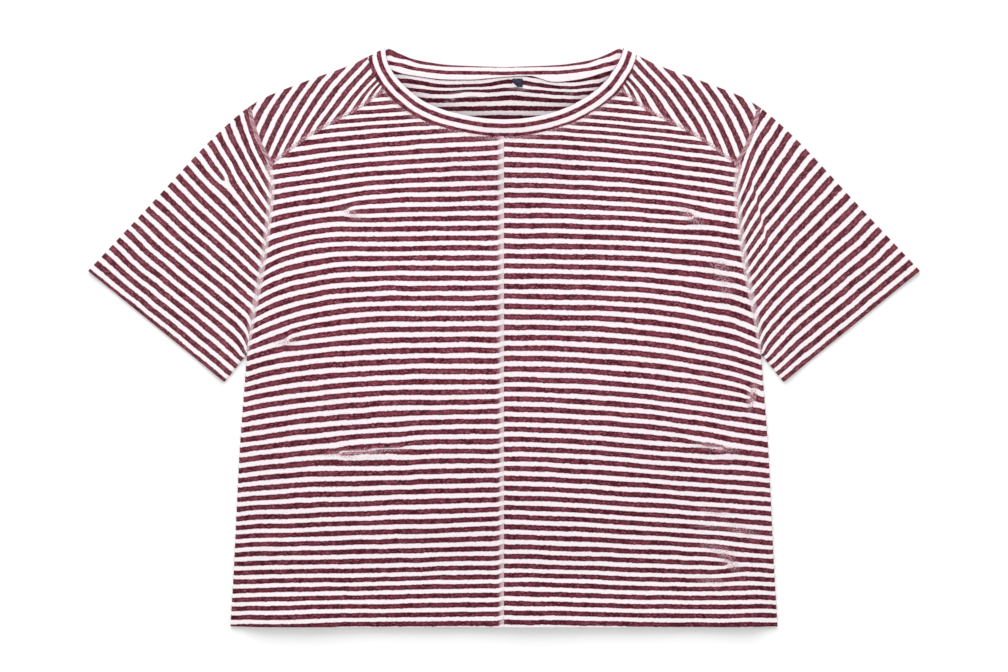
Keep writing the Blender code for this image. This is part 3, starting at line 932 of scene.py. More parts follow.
class SleeveStripes:
    """Stripes round one sleeve, with the small drift that the shoulder seam gives them."""

    SHARES = {
        Side.LEFT: (0.0, 10.32, -0.91, 0.0, 0.60, 0.0, 0.0),
        Side.RIGHT: (-0.27, 10.07, -1.27, 0.36, -0.48, 0.2, 1.1),
    }
    SLIP = (0.49, 1.57)  # in ten stripe pairs, as counted has it
    DRIFT = {
        Side.LEFT: ((0, 0.15), (40, 0.0), (200, 0.0)),
        Side.RIGHT: ((0, 0.58), (31, 0.46), (52, 0.15), (104, -0.03), (145, -0.4), (200, -0.2)),
    }
    DRIFT_REACH = 46 * MM
    EDGE = {
        Side.LEFT: ((0, 0.0), (30, -0.3), (60, -0.36), (90, -0.22), (130, -0.06), (150, 0.06),
                    (190, 0.3), (215, 0.0)),
        Side.RIGHT: ((0, 0.12), (30, -0.06), (50, -0.17), (80, -0.24), (130, -0.3),
                     (170, -0.36), (190, -0.55), (215, -0.55)),
    }
    EDGE_REACH = {Side.LEFT: 48, Side.RIGHT: 34}
    SWELLS = {Side.LEFT: (), Side.RIGHT: (Drift(60, 168, 26, 32, 0.22),)}
    PATCHES = (Patch(-279, 157, 126, 12, 4, 0.2),)
    TUCKS = (Tuck(256, 124, -76, 100, 14, -0.3),)

    def __init__(self, outline: Outline) -> None:
        """Keeps the armhole's line."""
        self.outline = outline

    def from_cuff(self, folded: Array) -> tuple[Array, Array]:
        """Measures from the cuff.

        Args:
            folded: places brought to +X.

        Returns:
            How far they are along the cuff and off it, in metres.
        """
        way = self.outline.cuff_way
        offset = folded - self.outline.cuff_top
        return offset @ way, offset @ np.array([way[1], -way[0]])

    def counted(self, u: Array, v: Array) -> tuple[Array, Array]:
        """Counts the stripes from the cuff.

        Args:
            u: places along the cuff, in ten stripe pairs.
            v: places off it.

        Returns:
            The count and the slip's angle.
        """
        terms = (1, v, v**2, v**3, u * v**3, u * (1.7 - u), u**2 * v**3)
        shares = self.SHARES[self.outline.side]
        count = sum(share * term for share, term in zip(shares, terms))
        turn = np.zeros(len(u))
        if self.outline.side is Side.LEFT:
            slip_u, slip_v = self.SLIP
            turn = np.arctan2(v - slip_v, slip_u - u)
            count = count - np.arctan2(v - slip_v, slip_u - 0.1) / TAU
        return count, turn

    def edge(self, u: Array, v: Array) -> Array:
        """Bends the stripes beside the fold at the top, and swells those on the right.

        Args:
            u: places along the cuff in mm.
            v: places off it.

        Returns:
            The stripe pairs to add.
        """
        side = self.outline.side
        off, shifts = np.array(self.EDGE[side]).T
        shift = np.interp(v, off, shifts) * smooth_step(1 - u / self.EDGE_REACH[side])
        return shift + drift_pairs(self.SWELLS[side], np.column_stack([u, v]))

    def read(self, places: Array) -> Weave:
        """Reads the sleeve's weave.

        Args:
            places: signed places in metres.

        Returns:
            The weave.
        """
        folded = folded_over(places)
        u, v = self.from_cuff(folded)
        count, turn = self.counted(u / (10 * PAIR * MM), v / (10 * PAIR * MM))
        gap, along = self.outline.near("low_armhole", folded)
        way, shifts = np.array(self.DRIFT[self.outline.side]).T
        shift = np.interp(along / MM, way, shifts)
        count = count + shift * smooth_step(1 - gap / self.DRIFT_REACH)
        pull = smooth_step(1.3 * (1 - along / (52 * MM)))
        count = count + 0.8 * pull * np.exp(-gap / (5.5 * MM))
        count = count + tuck_jumps(self.TUCKS, places / MM) + self.edge(u / MM, v / MM)
        above = 0.15 + 0.85 * smooth_step((folded[:, 1] / MM + 14) / 64)
        wear_and_shade, fade = patch_amounts(self.PATCHES, places / MM)
        wear_and_shade = np.maximum(wear_and_shade, 0.4 * above * bell(gap, 4.2 * MM, 6))
        fade = np.maximum(np.maximum(0.5 * above * bell(gap, 4.6 * MM, 6), fade), 0.01)
        return Weave(u / (PAIR * MM), count, turn, fade, wear_and_shade)


# --- Cloth meshes.


class Grid(NamedTuple):
    """Rows of places, and the weave's six numbers at each."""

    places: Array
    weave: Array


class Cloth:
    """A sheet of cloth in the making: grids that are joined and then given thickness."""

    WELD = 0.003 * MM
    GAP = 0.05 * MM
    STEEP = 0.7
    LEAST_SPREAD = 0.5
    LEAST_TURN = 0.1
    SHARP = math.radians(60)
    SHADED_SHARP = math.radians(50)

    def __init__(self, thickness: float, middle: float, inner_shade_and_dull: Callable | None) -> None:
        """Starts an empty sheet.

        Args:
            thickness: of the cloth.
            middle: the height between its two layers.
            inner_shade_and_dull: how much greyer its inner face's whites are at the places in plan,
                if they are: painted shade, with some dullness of the wrong side.
        """
        self.mesh = bmesh.new()
        layers = self.mesh.verts.layers.float_vector
        self.cloth, self.slip, self.shift = map(layers.new, ("cloth", "slip", "shift"))
        self.thickness = thickness
        self.middle = middle
        self.inner_shade_and_dull = inner_shade_and_dull

    def add(self, grid: Grid) -> None:
        """Adds one grid.

        Args:
            grid: the places and the weave of its vertices.
        """
        rows, columns = (size - 1 for size in grid.places.shape[:2])
        places, weave = grid.places.tolist(), grid.weave.tolist()
        made = bmesh.ops.create_grid(self.mesh, x_segments=columns, y_segments=rows, size=1)
        for vertex in made["verts"]:
            i = round((vertex.co.x + 1) / 2 * columns)
            j = round((vertex.co.y + 1) / 2 * rows)
            vertex.co = places[j][i]
            vertex[self.cloth] = weave[j][i][:3]
            vertex[self.slip] = weave[j][i][3:]

    def join(self) -> None:
        """Welds the grids and turns every face outwards."""
        bmesh.ops.remove_doubles(self.mesh, verts=self.mesh.verts, dist=self.WELD)
        bmesh.ops.recalc_face_normals(self.mesh, faces=self.mesh.faces)
        outwards = 0.0
        for face in self.mesh.faces:
            height = face.calc_center_median().z - self.middle
            outwards += face.calc_area() * face.normal.z * math.copysign(1, height)
        if outwards < 0:
            bmesh.ops.reverse_faces(self.mesh, faces=self.mesh.faces)
        self.mesh.normal_update()

    def inward_directions(self, vertex: bmesh.types.BMVert) -> list[Vector]:
        """Finds which way the cloth lies from its open edges.

        Args:
            vertex: a vertex on them.

        Returns:
            One direction for each open edge at the vertex.
        """
        found = []
        for edge in vertex.link_edges:
            if edge.is_boundary:
                face = edge.link_faces[0]
                along = (edge.verts[1].co - edge.verts[0].co).normalized()
                across = along.cross(face.normal)
                if across.dot(face.calc_center_median() - edge.verts[0].co) < 0:
                    across.negate()
                upright = abs(across.z) > self.STEEP
                level = Vector((across.x, across.y, 0))
                found.append((Vector((0, 0, across.z)) if upright else level).normalized())
        return found

    def thicken(self) -> None:
        """Gives the sheet its inner face, with square walls along the seams."""
        trims = {}
        for vertex in self.mesh.verts:
            inwards = -vertex.normal * self.thickness * vertex.calc_shell_factor()
            if vertex.is_boundary:
                directions = self.inward_directions(vertex)
                first, last = directions[0], directions[-1]
                spread = max(1 + first.dot(last), self.LEAST_SPREAD)
                trims[vertex] = (first + last) * self.GAP / 2 / spread
                inwards -= first * inwards.dot(first)
                square = last - first * last.dot(first)
                if square.length > self.LEAST_TURN:
                    square.normalize()
                    inwards -= square * inwards.dot(square)
            vertex[self.shift] = inwards
        for vertex, trim in trims.items():
            vertex.co += trim
        made = bmesh.ops.extrude_face_region(
            self.mesh, geom=self.mesh.faces[:], use_keep_orig=True
        )
        inner = [item for item in made["geom"] if isinstance(item, bmesh.types.BMVert)]
        # Painted shade: the inner face's wear_and_shade number is lowered, which greys its whites
        # in the material.
        if self.inner_shade_and_dull is not None:
            shade_and_dull = self.inner_shade_and_dull(np.array([tuple(vertex.co[:2]) for vertex in inner]))
            for vertex, amount in zip(inner, shade_and_dull.tolist()):
                vertex[self.cloth].z -= amount
        for vertex in inner:
            vertex.co += vertex[self.shift]
        bmesh.ops.recalc_face_normals(self.mesh, faces=self.mesh.faces)

    def soften(self, width: float) -> None:
        """Rounds the edges of the walls.

        Args:
            width: of the rounding.
        """
        sharp = [
            edge for edge in self.mesh.edges
            if edge.is_manifold and edge.calc_face_angle() > self.SHARP
        ]
        bmesh.ops.bevel(
            self.mesh, geom=sharp, offset=width, affect="EDGES", segments=2, profile=0.5,
            material=-1, clamp_overlap=True,
        )

    def finish(self, name: str, material: bpy.types.Material) -> bpy.types.Object:
        """Makes the object, linked and riding on the body.

        Args:
            name: the piece's name.
            material: its material.

        Returns:
            The object.
        """
        self.mesh.verts.layers.float_vector.remove(self.shift)
        piece = linked(name, self.mesh, material)
        piece.data.shade_smooth()
        piece.data.set_sharp_from_angle(angle=self.SHADED_SHARP)
        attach(piece, "root")
        return piece


def linked(
    name: str, mesh: bmesh.types.BMesh, material: bpy.types.Material
) -> bpy.types.Object:
    """Turns a mesh in the making into an object of the scene.

    Args:
        name: the object's name.
        mesh: the mesh, which is used up.
        material: its material.

    Returns:
        The object.
    """
    data = bpy.data.meshes.new(name)
    mesh.to_mesh(data)
    mesh.free()
    data.materials.append(material)
    made = bpy.data.objects.new(name, data)
    bpy.context.scene.collection.objects.link(made)
    return made


# --- Materials.

Colour = tuple[float, float, float, float]


class Bench:
    """Adds and joins the shader nodes of one material."""

    def __init__(self, name: str) -> None:
        """Makes an empty material with a Principled shader.

        Args:
            name: the material's name.
        """
        self.material = bpy.data.materials.new(name)
        self.material.use_nodes = True
        self.tree = self.material.node_tree
        self.shader = self.tree.nodes["Principled BSDF"]

    def feed(self, socket: Socket, value: object) -> None:
        """Links a socket into another one, or sets its value.

        Args:
            socket: the input.
            value: what it gets.
        """
        if isinstance(value, bpy.types.NodeSocket):
            self.tree.links.new(value, socket)
        else:
            socket.default_value = value

    def node(self, kind: str, inputs: dict | tuple = (), **settings: object) -> bpy.types.Node:
        """A new node.

        Args:
            kind: the node's type after "ShaderNode".
            inputs: what its inputs get, by name or place, or in order.
            settings: its own properties.

        Returns:
            The node.
        """
        made = self.tree.nodes.new(f"ShaderNode{kind}")
        for key, value in settings.items():
            setattr(made, key, value)
        named = inputs.items() if isinstance(inputs, dict) else enumerate(inputs)
        for key, value in named:
            self.feed(made.inputs[key], value)
        return made

    def dress(self, **values: object) -> bpy.types.Material:
        """Feeds the shader's inputs.

        Args:
            values: by the inputs' names, with _ for a space.

        Returns:
            The material.
        """
        for name, value in values.items():
            self.feed(self.shader.inputs[name.replace("_", " ")], value)
        return self.material

    def maths(self, operation: str, *values: object) -> Socket:
        """A Math node's result."""
        return self.node("Math", values, operation=operation).outputs[0]

    def times(self, first: object, second: object) -> Socket:
        """The two multiplied."""
        return self.maths("MULTIPLY", first, second)

    def line(self, value: object, slope: object, start: object) -> Socket:
        """The value times the slope, added to the start."""
        return self.maths("MULTIPLY_ADD", value, slope, start)

    def rest(self, share: object) -> Socket:
        """What the share leaves of 1."""
        return self.maths("SUBTRACT", 1.0, share)

    def held(self, value: Socket, most: float) -> Socket:
        """The value, kept between 0 and the most."""
        return self.maths("MINIMUM", self.maths("MAXIMUM", value, 0.0), most)

    def graded(self, value: Socket, low: float, high: float, to: tuple = (0, 1)) -> Socket:
        """The value eased from low and high to the two given ends."""
        inputs = (value, low, high, *to)
        return self.node("MapRange", inputs, interpolation_type="SMOOTHSTEP").outputs[0]

    def mixed(self, share: object, first: object, second: object) -> Socket:
        """Mixes two colours.

        Args:
            share: how much of the second.
            first: the one colour.
            second: the other.

        Returns:
            The colour between them.
        """
        made = self.node("Mix", data_type="RGBA")
        sockets = {socket.identifier: socket for socket in made.inputs}
        for name, value in zip(("Factor_Float", "A_Color", "B_Color"), (share, first, second)):
            self.feed(sockets[name], value)
        return next(found for found in made.outputs if found.identifier == "Result_Color")

    def parts(self, name: str) -> tuple[Socket, Socket, Socket]:
        """The three numbers of a vector that the mesh carries."""
        vector = self.node("Attribute", attribute_name=name).outputs["Vector"]
        return tuple(self.node("SeparateXYZ", (vector,)).outputs)

    def grain(self, place: tuple[Socket, Socket], size: tuple[float, float], detail: float,
              seed: float) -> Socket:
        """Noise on the cloth.

        Args:
            place: along the stripes and across them.
            size: how many grains to a stripe pair, each way.
            detail: finer layers.
            seed: sets one grain apart from another.

        Returns:
            The noise, about 0.5 on average.
        """
        where = self.node("CombineXYZ", (*map(self.times, place, size), seed)).outputs[0]
        inputs = {"Vector": where, "Scale": 1.0, "Detail": detail}
        return self.node("TexNoise", inputs, noise_dimensions="3D").outputs[0]

    def bump(self, height: Socket, strength: float, distance: float) -> Socket:
        """The normals of a small relief."""
        inputs = {"Strength": strength, "Distance": distance, "Height": height}
        return self.node("Bump", inputs).outputs[0]


class Yarn(NamedTuple):
    """What a knit's finish reads at each point of the cloth."""

    place: tuple[Socket, Socket]
    count: Socket
    turn: Socket
    wale: Socket
    wear_and_shade: Socket
    fade: Socket


@dataclass(frozen=True)
class KnitFinish:
    """Slubby two-colour jersey: heathered stripes over rows of small stitches."""

    name: str
    deepest: Colour = (0.042, 0.002, 0.006, 1)
    deep: Colour = (0.066, 0.005, 0.013, 1)
    core: Colour = (0.235, 0.046, 0.070, 1)
    fleck: Colour = (0.55, 0.21, 0.27, 1)
    fringe: Colour = (0.42, 0.17, 0.23, 1)
    white: Colour = (0.925, 0.865, 0.885, 1)
    tint: Colour = (0.85, 0.70, 0.745, 1)
    # grey white for the painted shade on the back's inner face, and for its wrong side's dullness
    shade_and_dull: Colour = (0.69, 0.63, 0.66, 1)
    dark_share: float = 0.53
    wales: float = 8.3
    courses: float = 11.0
    sway: float = 0.22
    waver: float = 0.09
    rag: float = 0.15
    sheen: float = 0.02
    relief: float = 0.35 * MM

    def build(self) -> bpy.types.Material:
        """Makes the material.

        Returns:
            The material.
        """
        bench = Bench(self.name)
        graded, mixed, times = bench.graded, bench.mixed, bench.times
        along, count, wear_and_shade = bench.parts("cloth")
        cosine, sine, fade = bench.parts("slip")
        turn = bench.maths("DIVIDE", bench.maths("ARCTAN2", sine, cosine), TAU)
        wale = bench.maths("PINGPONG", times(along, self.wales), 0.5)
        yarn = Yarn((along, count), count, turn, wale, wear_and_shade, fade)
        gap = bench.maths("PINGPONG", self.disturbed(bench, yarn), 0.5)
        half = self.dark_share / 2
        dark = self.worn(bench, yarn, graded(gap, half - 0.025, half + 0.025, (1, 0)))
        dark_colour, white_colour = self.colours(bench, yarn, gap)
        colour = mixed(dark, white_colour, dark_colour)
        beside_edge = bench.maths("ABSOLUTE", bench.maths("SUBTRACT", gap, half))
        fringe = times(graded(beside_edge, 0.05, 0.0, (0, 0.45)), bench.rest(fade))
        colour = mixed(fringe, colour, self.fringe)
        pink = times(bench.maths("MAXIMUM", wear_and_shade, times(fade, 0.45)), 2.8)
        pink = times(times(dark, bench.rest(dark)), bench.held(pink, 2.8))
        colour = mixed(pink, colour, self.fleck)
        stitch = self.stitches(bench, yarn)
        shade = graded(stitch, 0.0, 1.0, (0.86, 1.03))
        shaded = bench.node("VectorMath", {0: colour, "Scale": shade}, operation="SCALE")
        slub = bench.grain(yarn.place, (1.7, 4.5), 2.0, 5.5)
        relief = bench.line(slub, 1.4, times(stitch, 0.55))
        return bench.dress(
            Base_Color=shaded.outputs[0],
            Normal=bench.bump(relief, 0.55, self.relief),
            Roughness=graded(slub, 0.3, 0.7, (0.84, 0.97)),
            Specular_IOR_Level=0.03,
            Sheen_Weight=self.sheen,
            Sheen_Roughness=0.6,
        )

    def disturbed(self, bench: Bench, yarn: Yarn) -> Socket:
        """Adds the cloth's slow sway and ragged edges to the stripe count.

        Args:
            bench: the material in the making.
            yarn: what it reads.

        Returns:
            The count.
        """
        place = bench.maths("ADD", yarn.count, yarn.turn)
        for amount, size, detail, seed in (
            (self.sway, (0.26, 0.34), 1.0, 1.3),
            (self.waver, (0.9, 0.8), 1.0, 9.2),
            (self.rag, (3.4, 2.4), 1.5, 3.7),
        ):
            place = bench.line(bench.grain(yarn.place, size, detail, seed), amount, place)
        place = bench.line(yarn.wale, 0.08, place)
        return bench.maths("SUBTRACT", place, (self.sway + self.waver + self.rag) / 2 + 0.02)

    def worn(self, bench: Bench, yarn: Yarn, dark: Socket) -> Socket:
        """Breaks the dark share into flecks where worn, and pales it where faded.

        Args:
            bench: the material in the making.
            yarn: what it reads.
            dark: the share of dark yarn in sound cloth.

        Returns:
            The share that is left.
        """
        left = bench.times(dark, bench.rest(yarn.fade))
        speckle = bench.grain(yarn.place, (6.5, 7.5), 1.0, 7.1)
        flecks = bench.graded(speckle, 0.32, 0.68, (-0.2, 0.75))
        broken = bench.held(bench.line(left, 0.45, flecks), 1.0)
        inputs = {0: yarn.wear_and_shade, 2: left, 3: broken}
        return bench.node("Mix", inputs, data_type="FLOAT").outputs[0]

    def stitches(self, bench: Bench, yarn: Yarn) -> Socket:
        """Draws the jersey's small V stitches.

        Args:
            bench: the material in the making.
            yarn: what it reads.

        Returns:
            Their height, 0 to 1.
        """
        lean = bench.line(yarn.wale, 1.3, bench.times(yarn.count, self.courses))
        wave, leg = (bench.maths("SINE", bench.times(way, TAU)) for way in (lean, yarn.wale))
        return bench.times(bench.line(wave, 0.5, 0.5), bench.line(leg, 0.7, 0.3))

    def colours(self, bench: Bench, yarn: Yarn, gap: Socket) -> tuple[Socket, Socket]:
        """The dark and the white yarn's colours, the white greyed by painted shade where
        wear_and_shade is below -1.

        Args:
            bench: the material in the making.
            yarn: what it reads.
            gap: how far each point is from the middle of a dark stripe, in stripe pairs.

        Returns:
            The two colours.
        """
        graded, mixed, times, grain = bench.graded, bench.mixed, bench.times, bench.grain
        tone = graded(grain(yarn.place, (1.5, 1.3), 2.0, 2.2), 0.36, 0.66)
        plain = graded(yarn.wear_and_shade, 0.0, -1.0)
        middle = times(graded(gap, 0.25, 0.08), bench.line(plain, -0.7, 1.0))
        lighter = times(middle, bench.line(tone, 0.75, 0.15))
        dark = mixed(lighter, mixed(plain, self.deep, self.deepest), self.core)
        fleck = graded(grain(yarn.place, (4.2, 13.0), 1.0, 4.4), 0.54, 0.74)
        dark = mixed(times(fleck, bench.line(middle, 0.6, 0.1)), dark, self.fleck)
        stray = graded(grain(yarn.place, (2.6, 8.0), 1.0, 8.8), 0.5, 0.75)
        tinge = bench.line(graded(gap, 0.38, 0.28), 0.4, times(stray, 0.45))
        white = mixed(bench.maths("MINIMUM", tinge, 1.0), self.white, self.tint)
        # Painted shade: below -1 the whites turn grey; only the back's inner face gets there.
        return dark, mixed(graded(yarn.wear_and_shade, -1.0, -2.0), white, self.shade_and_dull)


@dataclass(frozen=True)
class TapeFinish:
    """A narrow woven tape, dark, with a pale folded corner."""

    name: str = "dark_tape"
    dark: Colour = (0.010, 0.009, 0.020, 1)
    light: Colour = (0.062, 0.060, 0.100, 1)
    corner: Colour = (0.80, 0.72, 0.76, 1)
    relief: float = 0.1 * MM

    def build(self) -> bpy.types.Material:
        """Makes the material.

        Returns:
            The material.
        """
        bench = Bench(self.name)
        along, across, _ = bench.parts("cloth")
        ribs, picks = (
            bench.maths("SINE", bench.times(way, step))
            for way, step in ((along, 14.0), (across, 9.0))
        )
        worn = bench.grain((along, across), (0.7, 0.5), 2.0, 1.1)
        colour = bench.mixed(bench.graded(worn, 0.35, 0.7), self.dark, self.light)
        low = bench.maths("PINGPONG", along, 9.2)
        pale = bench.graded(bench.line(across, -0.9, low), 4.6, 5.4)
        return bench.dress(
            Base_Color=bench.mixed(pale, colour, self.corner),
            Roughness=bench.graded(worn, 0.3, 0.7, (0.55, 0.75)),
            Specular_IOR_Level=0.12,
            Normal=bench.bump(bench.times(ribs, picks), 0.4, self.relief),
        )


@dataclass(frozen=True)
class PaperFinish:
    """The plain pale surface that the garment lies on."""

    name: str = "pale_paper"
    colour: Colour = (0.96, 0.96, 0.96, 1)

    def build(self) -> bpy.types.Material:
        """Makes the material."""
        return Bench(self.name).dress(
            Base_Color=self.colour, Roughness=0.95, Specular_IOR_Level=0.1
        )


# --- Sewn pieces.


@dataclass
class Pattern:
    """What the pieces of one half share: the outline, the lay and the stripes."""

    side: Side

    def __post_init__(self) -> None:
        """Draws the half."""
        self.plan = Outline(self.side)
        self.line = self.plan.lines
        self.lay = Lay(self.plan)
        self.front = FrontStripes(self.plan)
        self.shoulders = ShoulderStripes(self.plan, self.front)
        self.back = BackStripes(self.plan, self.shoulders)
        self.sleeves = SleeveStripes(self.plan)

    def laid(self, rows: Array, height: Callable, read: Callable) -> Grid:
        """Lays plan rows on their layer.

        Args:
            rows: places on the +X side, as rows by columns by 2.
            height: the layer's height function.
            read: the stripes' reading function.

        Returns:
            The grid.
        """
        shape = rows.shape[:2]
        plan = self.side.put(rows.reshape(-1, 2))
        places = np.column_stack([plan, height(plan)])
        return Grid(places.reshape(*shape, 3), read(plan).columns().reshape(*shape, 6))

    def turned(
        self, name: str, first: float, last: float, read: Callable, over: Callable | None = None
    ) -> Grid:
        """Carries cloth round a folded edge.

        Args:
            name: of the edge.
            first: the angle it starts at, where 0 is below and 180 on top.
            last: the angle it ends at.
            read: the stripes' reading function below.
            over: the one on top, if it is another.

        Returns:
            The grid.
        """
        edge, inner = self.line[name], self.line[f"{name}_in"]
        plan = self.side.put(inner)
        full = self.lay.upper(plan)
        below = read(plan).columns()
        rise = 0 if over is None else over(plan).columns() - below
        places, weave = [], []
        for angle in np.radians(np.linspace(first, last, 1 + round(abs(last - first) / FOLD_STEP))):
            flat = self.side.put(inner + (edge - inner) * math.sin(angle))
            places.append(np.column_stack([flat, full * (1 - math.cos(angle)) / 2]))
            weave.append(below + rise * angle / math.pi)
        return Grid(np.array(places), np.array(weave))

    def panel(self, share: float, columns: int, top: Array, armhole: str) -> tuple[Array, Array]:
        """One half of the body's plan, from the middle to the side.

        Args:
            share: how much of the hem lies under the neck.
            columns: how many columns that is.
            top: its upper edge.
            armhole: the name of its edge beside the sleeve.

        Returns:
            The rows below the armpit and those above it.
        """
        plan, side, hole = self.plan, self.line["side_in"], self.line[armhole]
        hem_middle, middle = np.array([0, plan.hem]), np.array([0, plan.armpit[1]])
        counts = (share, columns, plan.shoulder_columns)
        hem = broken_line(hem_middle, side[0], *counts)
        chest = broken_line(middle, plan.armpit, *counts)
        low = spaced(np.array([hem_middle, middle]), plan.body_rows)
        high = spaced(np.array([middle, top[0]]), len(hole) - 1)
        return filled(hem, chest, low, side), filled(chest, top, high, hole)


class Sewn:
    """What all pieces of cloth share: how each is made, and what is said of it."""

    thickness: float = 1.2 * MM
    middle: float = Outline.fold_radius
    rounding: float = 0.3 * MM
    slot: str = "striped_knit"
    held: str = "laid"
    # how the inner face's whites are greyed: painted shade with some wrong-side dullness, or not at
    # all
    inner_shade_and_dull: Callable | None = None

    def grids(self) -> list[Grid]:
        """The piece's cloth as grids."""
        raise NotImplementedError

    def build(
        self, name: str, material: bpy.types.Material, node: str | None = None, **sheet: object
    ) -> bpy.types.Object:
        """Makes the piece.

        Args:
            name: the piece's name.
            material: its material.
            node: the frame's node that it stands for, if there is one.
            sheet: what it rests on, and the pieces that belong to its cloth; not used.

        Returns:
            The object.
        """
        cloth = Cloth(self.thickness, self.middle, self.inner_shade_and_dull)
        for grid in self.grids():
            cloth.add(grid)
        cloth.join()
        cloth.thicken()
        if self.rounding:
            cloth.soften(self.rounding)
        piece = cloth.finish(name, material)
        if node is not None:
            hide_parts(node)
        return piece


@dataclass
class FrontHalf(Sewn):
    """One front half, from the centre seam round to the side seam."""

    pattern: Pattern
    neck_share: float = 0.56
    flat: tuple[float, float] = (0.290, 0.556)
    area: float = 0.139

    def grids(self) -> list[Grid]:
        """Draws hem to armpit, armpit to neck, and half way round the side.

        Returns:
            The grids.
        """
        pattern, line = self.pattern, self.pattern.line
        upper, read = pattern.lay.upper, pattern.front.read
        neckline = np.vstack([line["front_neck"], line["forward"][1:]])
        columns = pattern.plan.neck_columns
        panel = pattern.panel(self.neck_share, columns, neckline, "low_armhole")
        return [pattern.laid(rows, upper, read) for rows in panel] + [
            pattern.turned("side", 180, 90, read)
        ]


@dataclass
class Back(Sewn):
    """The back: its under layer, its folded edges and its carried-over shoulders."""

    patterns: dict[Side, Pattern]
    # even dullness of the wrong side; the painted shade behind the front's neck is added on top
    shade_and_dull: float = 0.38
    neck_share: float = 0.5
    flat: tuple[float, float] = (0.580, 0.640)
    area: float = 0.315

    def half(self, side: Side) -> list[Grid]:
        """Draws one half of the back.

        Args:
            side: which half.

        Returns:
            The grids.
        """
        pattern = self.patterns[side]
        line, lay = pattern.line, pattern.lay
        read, over = pattern.back.read, pattern.shoulders.read
        shoulder = line["shoulder_in"][::-1]
        top = np.vstack([line["back_neck"], shoulder[1:]])
        columns = pattern.plan.back_neck_columns
        panel = pattern.panel(self.neck_share, columns, top, "armhole")
        carried = filled(line["forward"], shoulder, line["neck_side"], line["high_armhole"])
        return [pattern.laid(rows, lay.under, read) for rows in panel] + [
            pattern.laid(carried, lay.upper, over),
            pattern.turned("side", 0, 90, read),
            pattern.turned("shoulder", 0, 180, read, over),
        ]

    def grids(self) -> list[Grid]:
        """The grids of both halves."""
        return [grid for side in Side for grid in self.half(side)]

    def inner_shade_and_dull(self, places: Array) -> Array:
        """Greys the wrong side's whites a little everywhere, and paints shade on them close behind
        the front's neck, under the raised front band.

        Args:
            places: signed places in plan.

        Returns:
            How much greyer it is, the painted shade included.
        """
        plan = self.patterns[Side.LEFT].plan
        gap, _ = plan.near("front_neck", folded_over(places))
        return self.shade_and_dull + (1 - self.shade_and_dull) * smooth_step((29 * MM - gap) / (11 * MM))


@dataclass
class Sleeve(Sewn):
    """One sleeve: both layers, the fold above and the seamed edge below."""

    pattern: Pattern
    flat: tuple[float, float] = (0.470, 0.215)
    area: float = 0.062

    def grids(self) -> list[Grid]:
        """Draws both layers and the edges that join them.

        Returns:
            The grids.
        """
        pattern, line, lay = self.pattern, self.pattern.line, self.pattern.lay
        read = pattern.sleeves.read
        plan = filled(
            line["armhole"], line["cuff"], line["underarm_in"], line["sleeve_top_in"][::-1]
        )
        turns = (("sleeve_top", 0, 180), ("underarm", 0, 90), ("underarm", 180, 90))
        return [pattern.laid(plan, height, read) for height in (lay.under, lay.upper)] + [
            pattern.turned(*turn, read) for turn in turns
        ]


class BandRow(NamedTuple):
    """One row across the neckband, in plan on +X.

    Its seam's and its rim's places and heights, how far it swells, its place along the
    band in mm, how much it belongs to the back, and what the stripes are counted from.
    """

    seam: Array
    rim: Array
    low: float
    high: float
    roll: float
    along: float
    back: float
    edge: Array


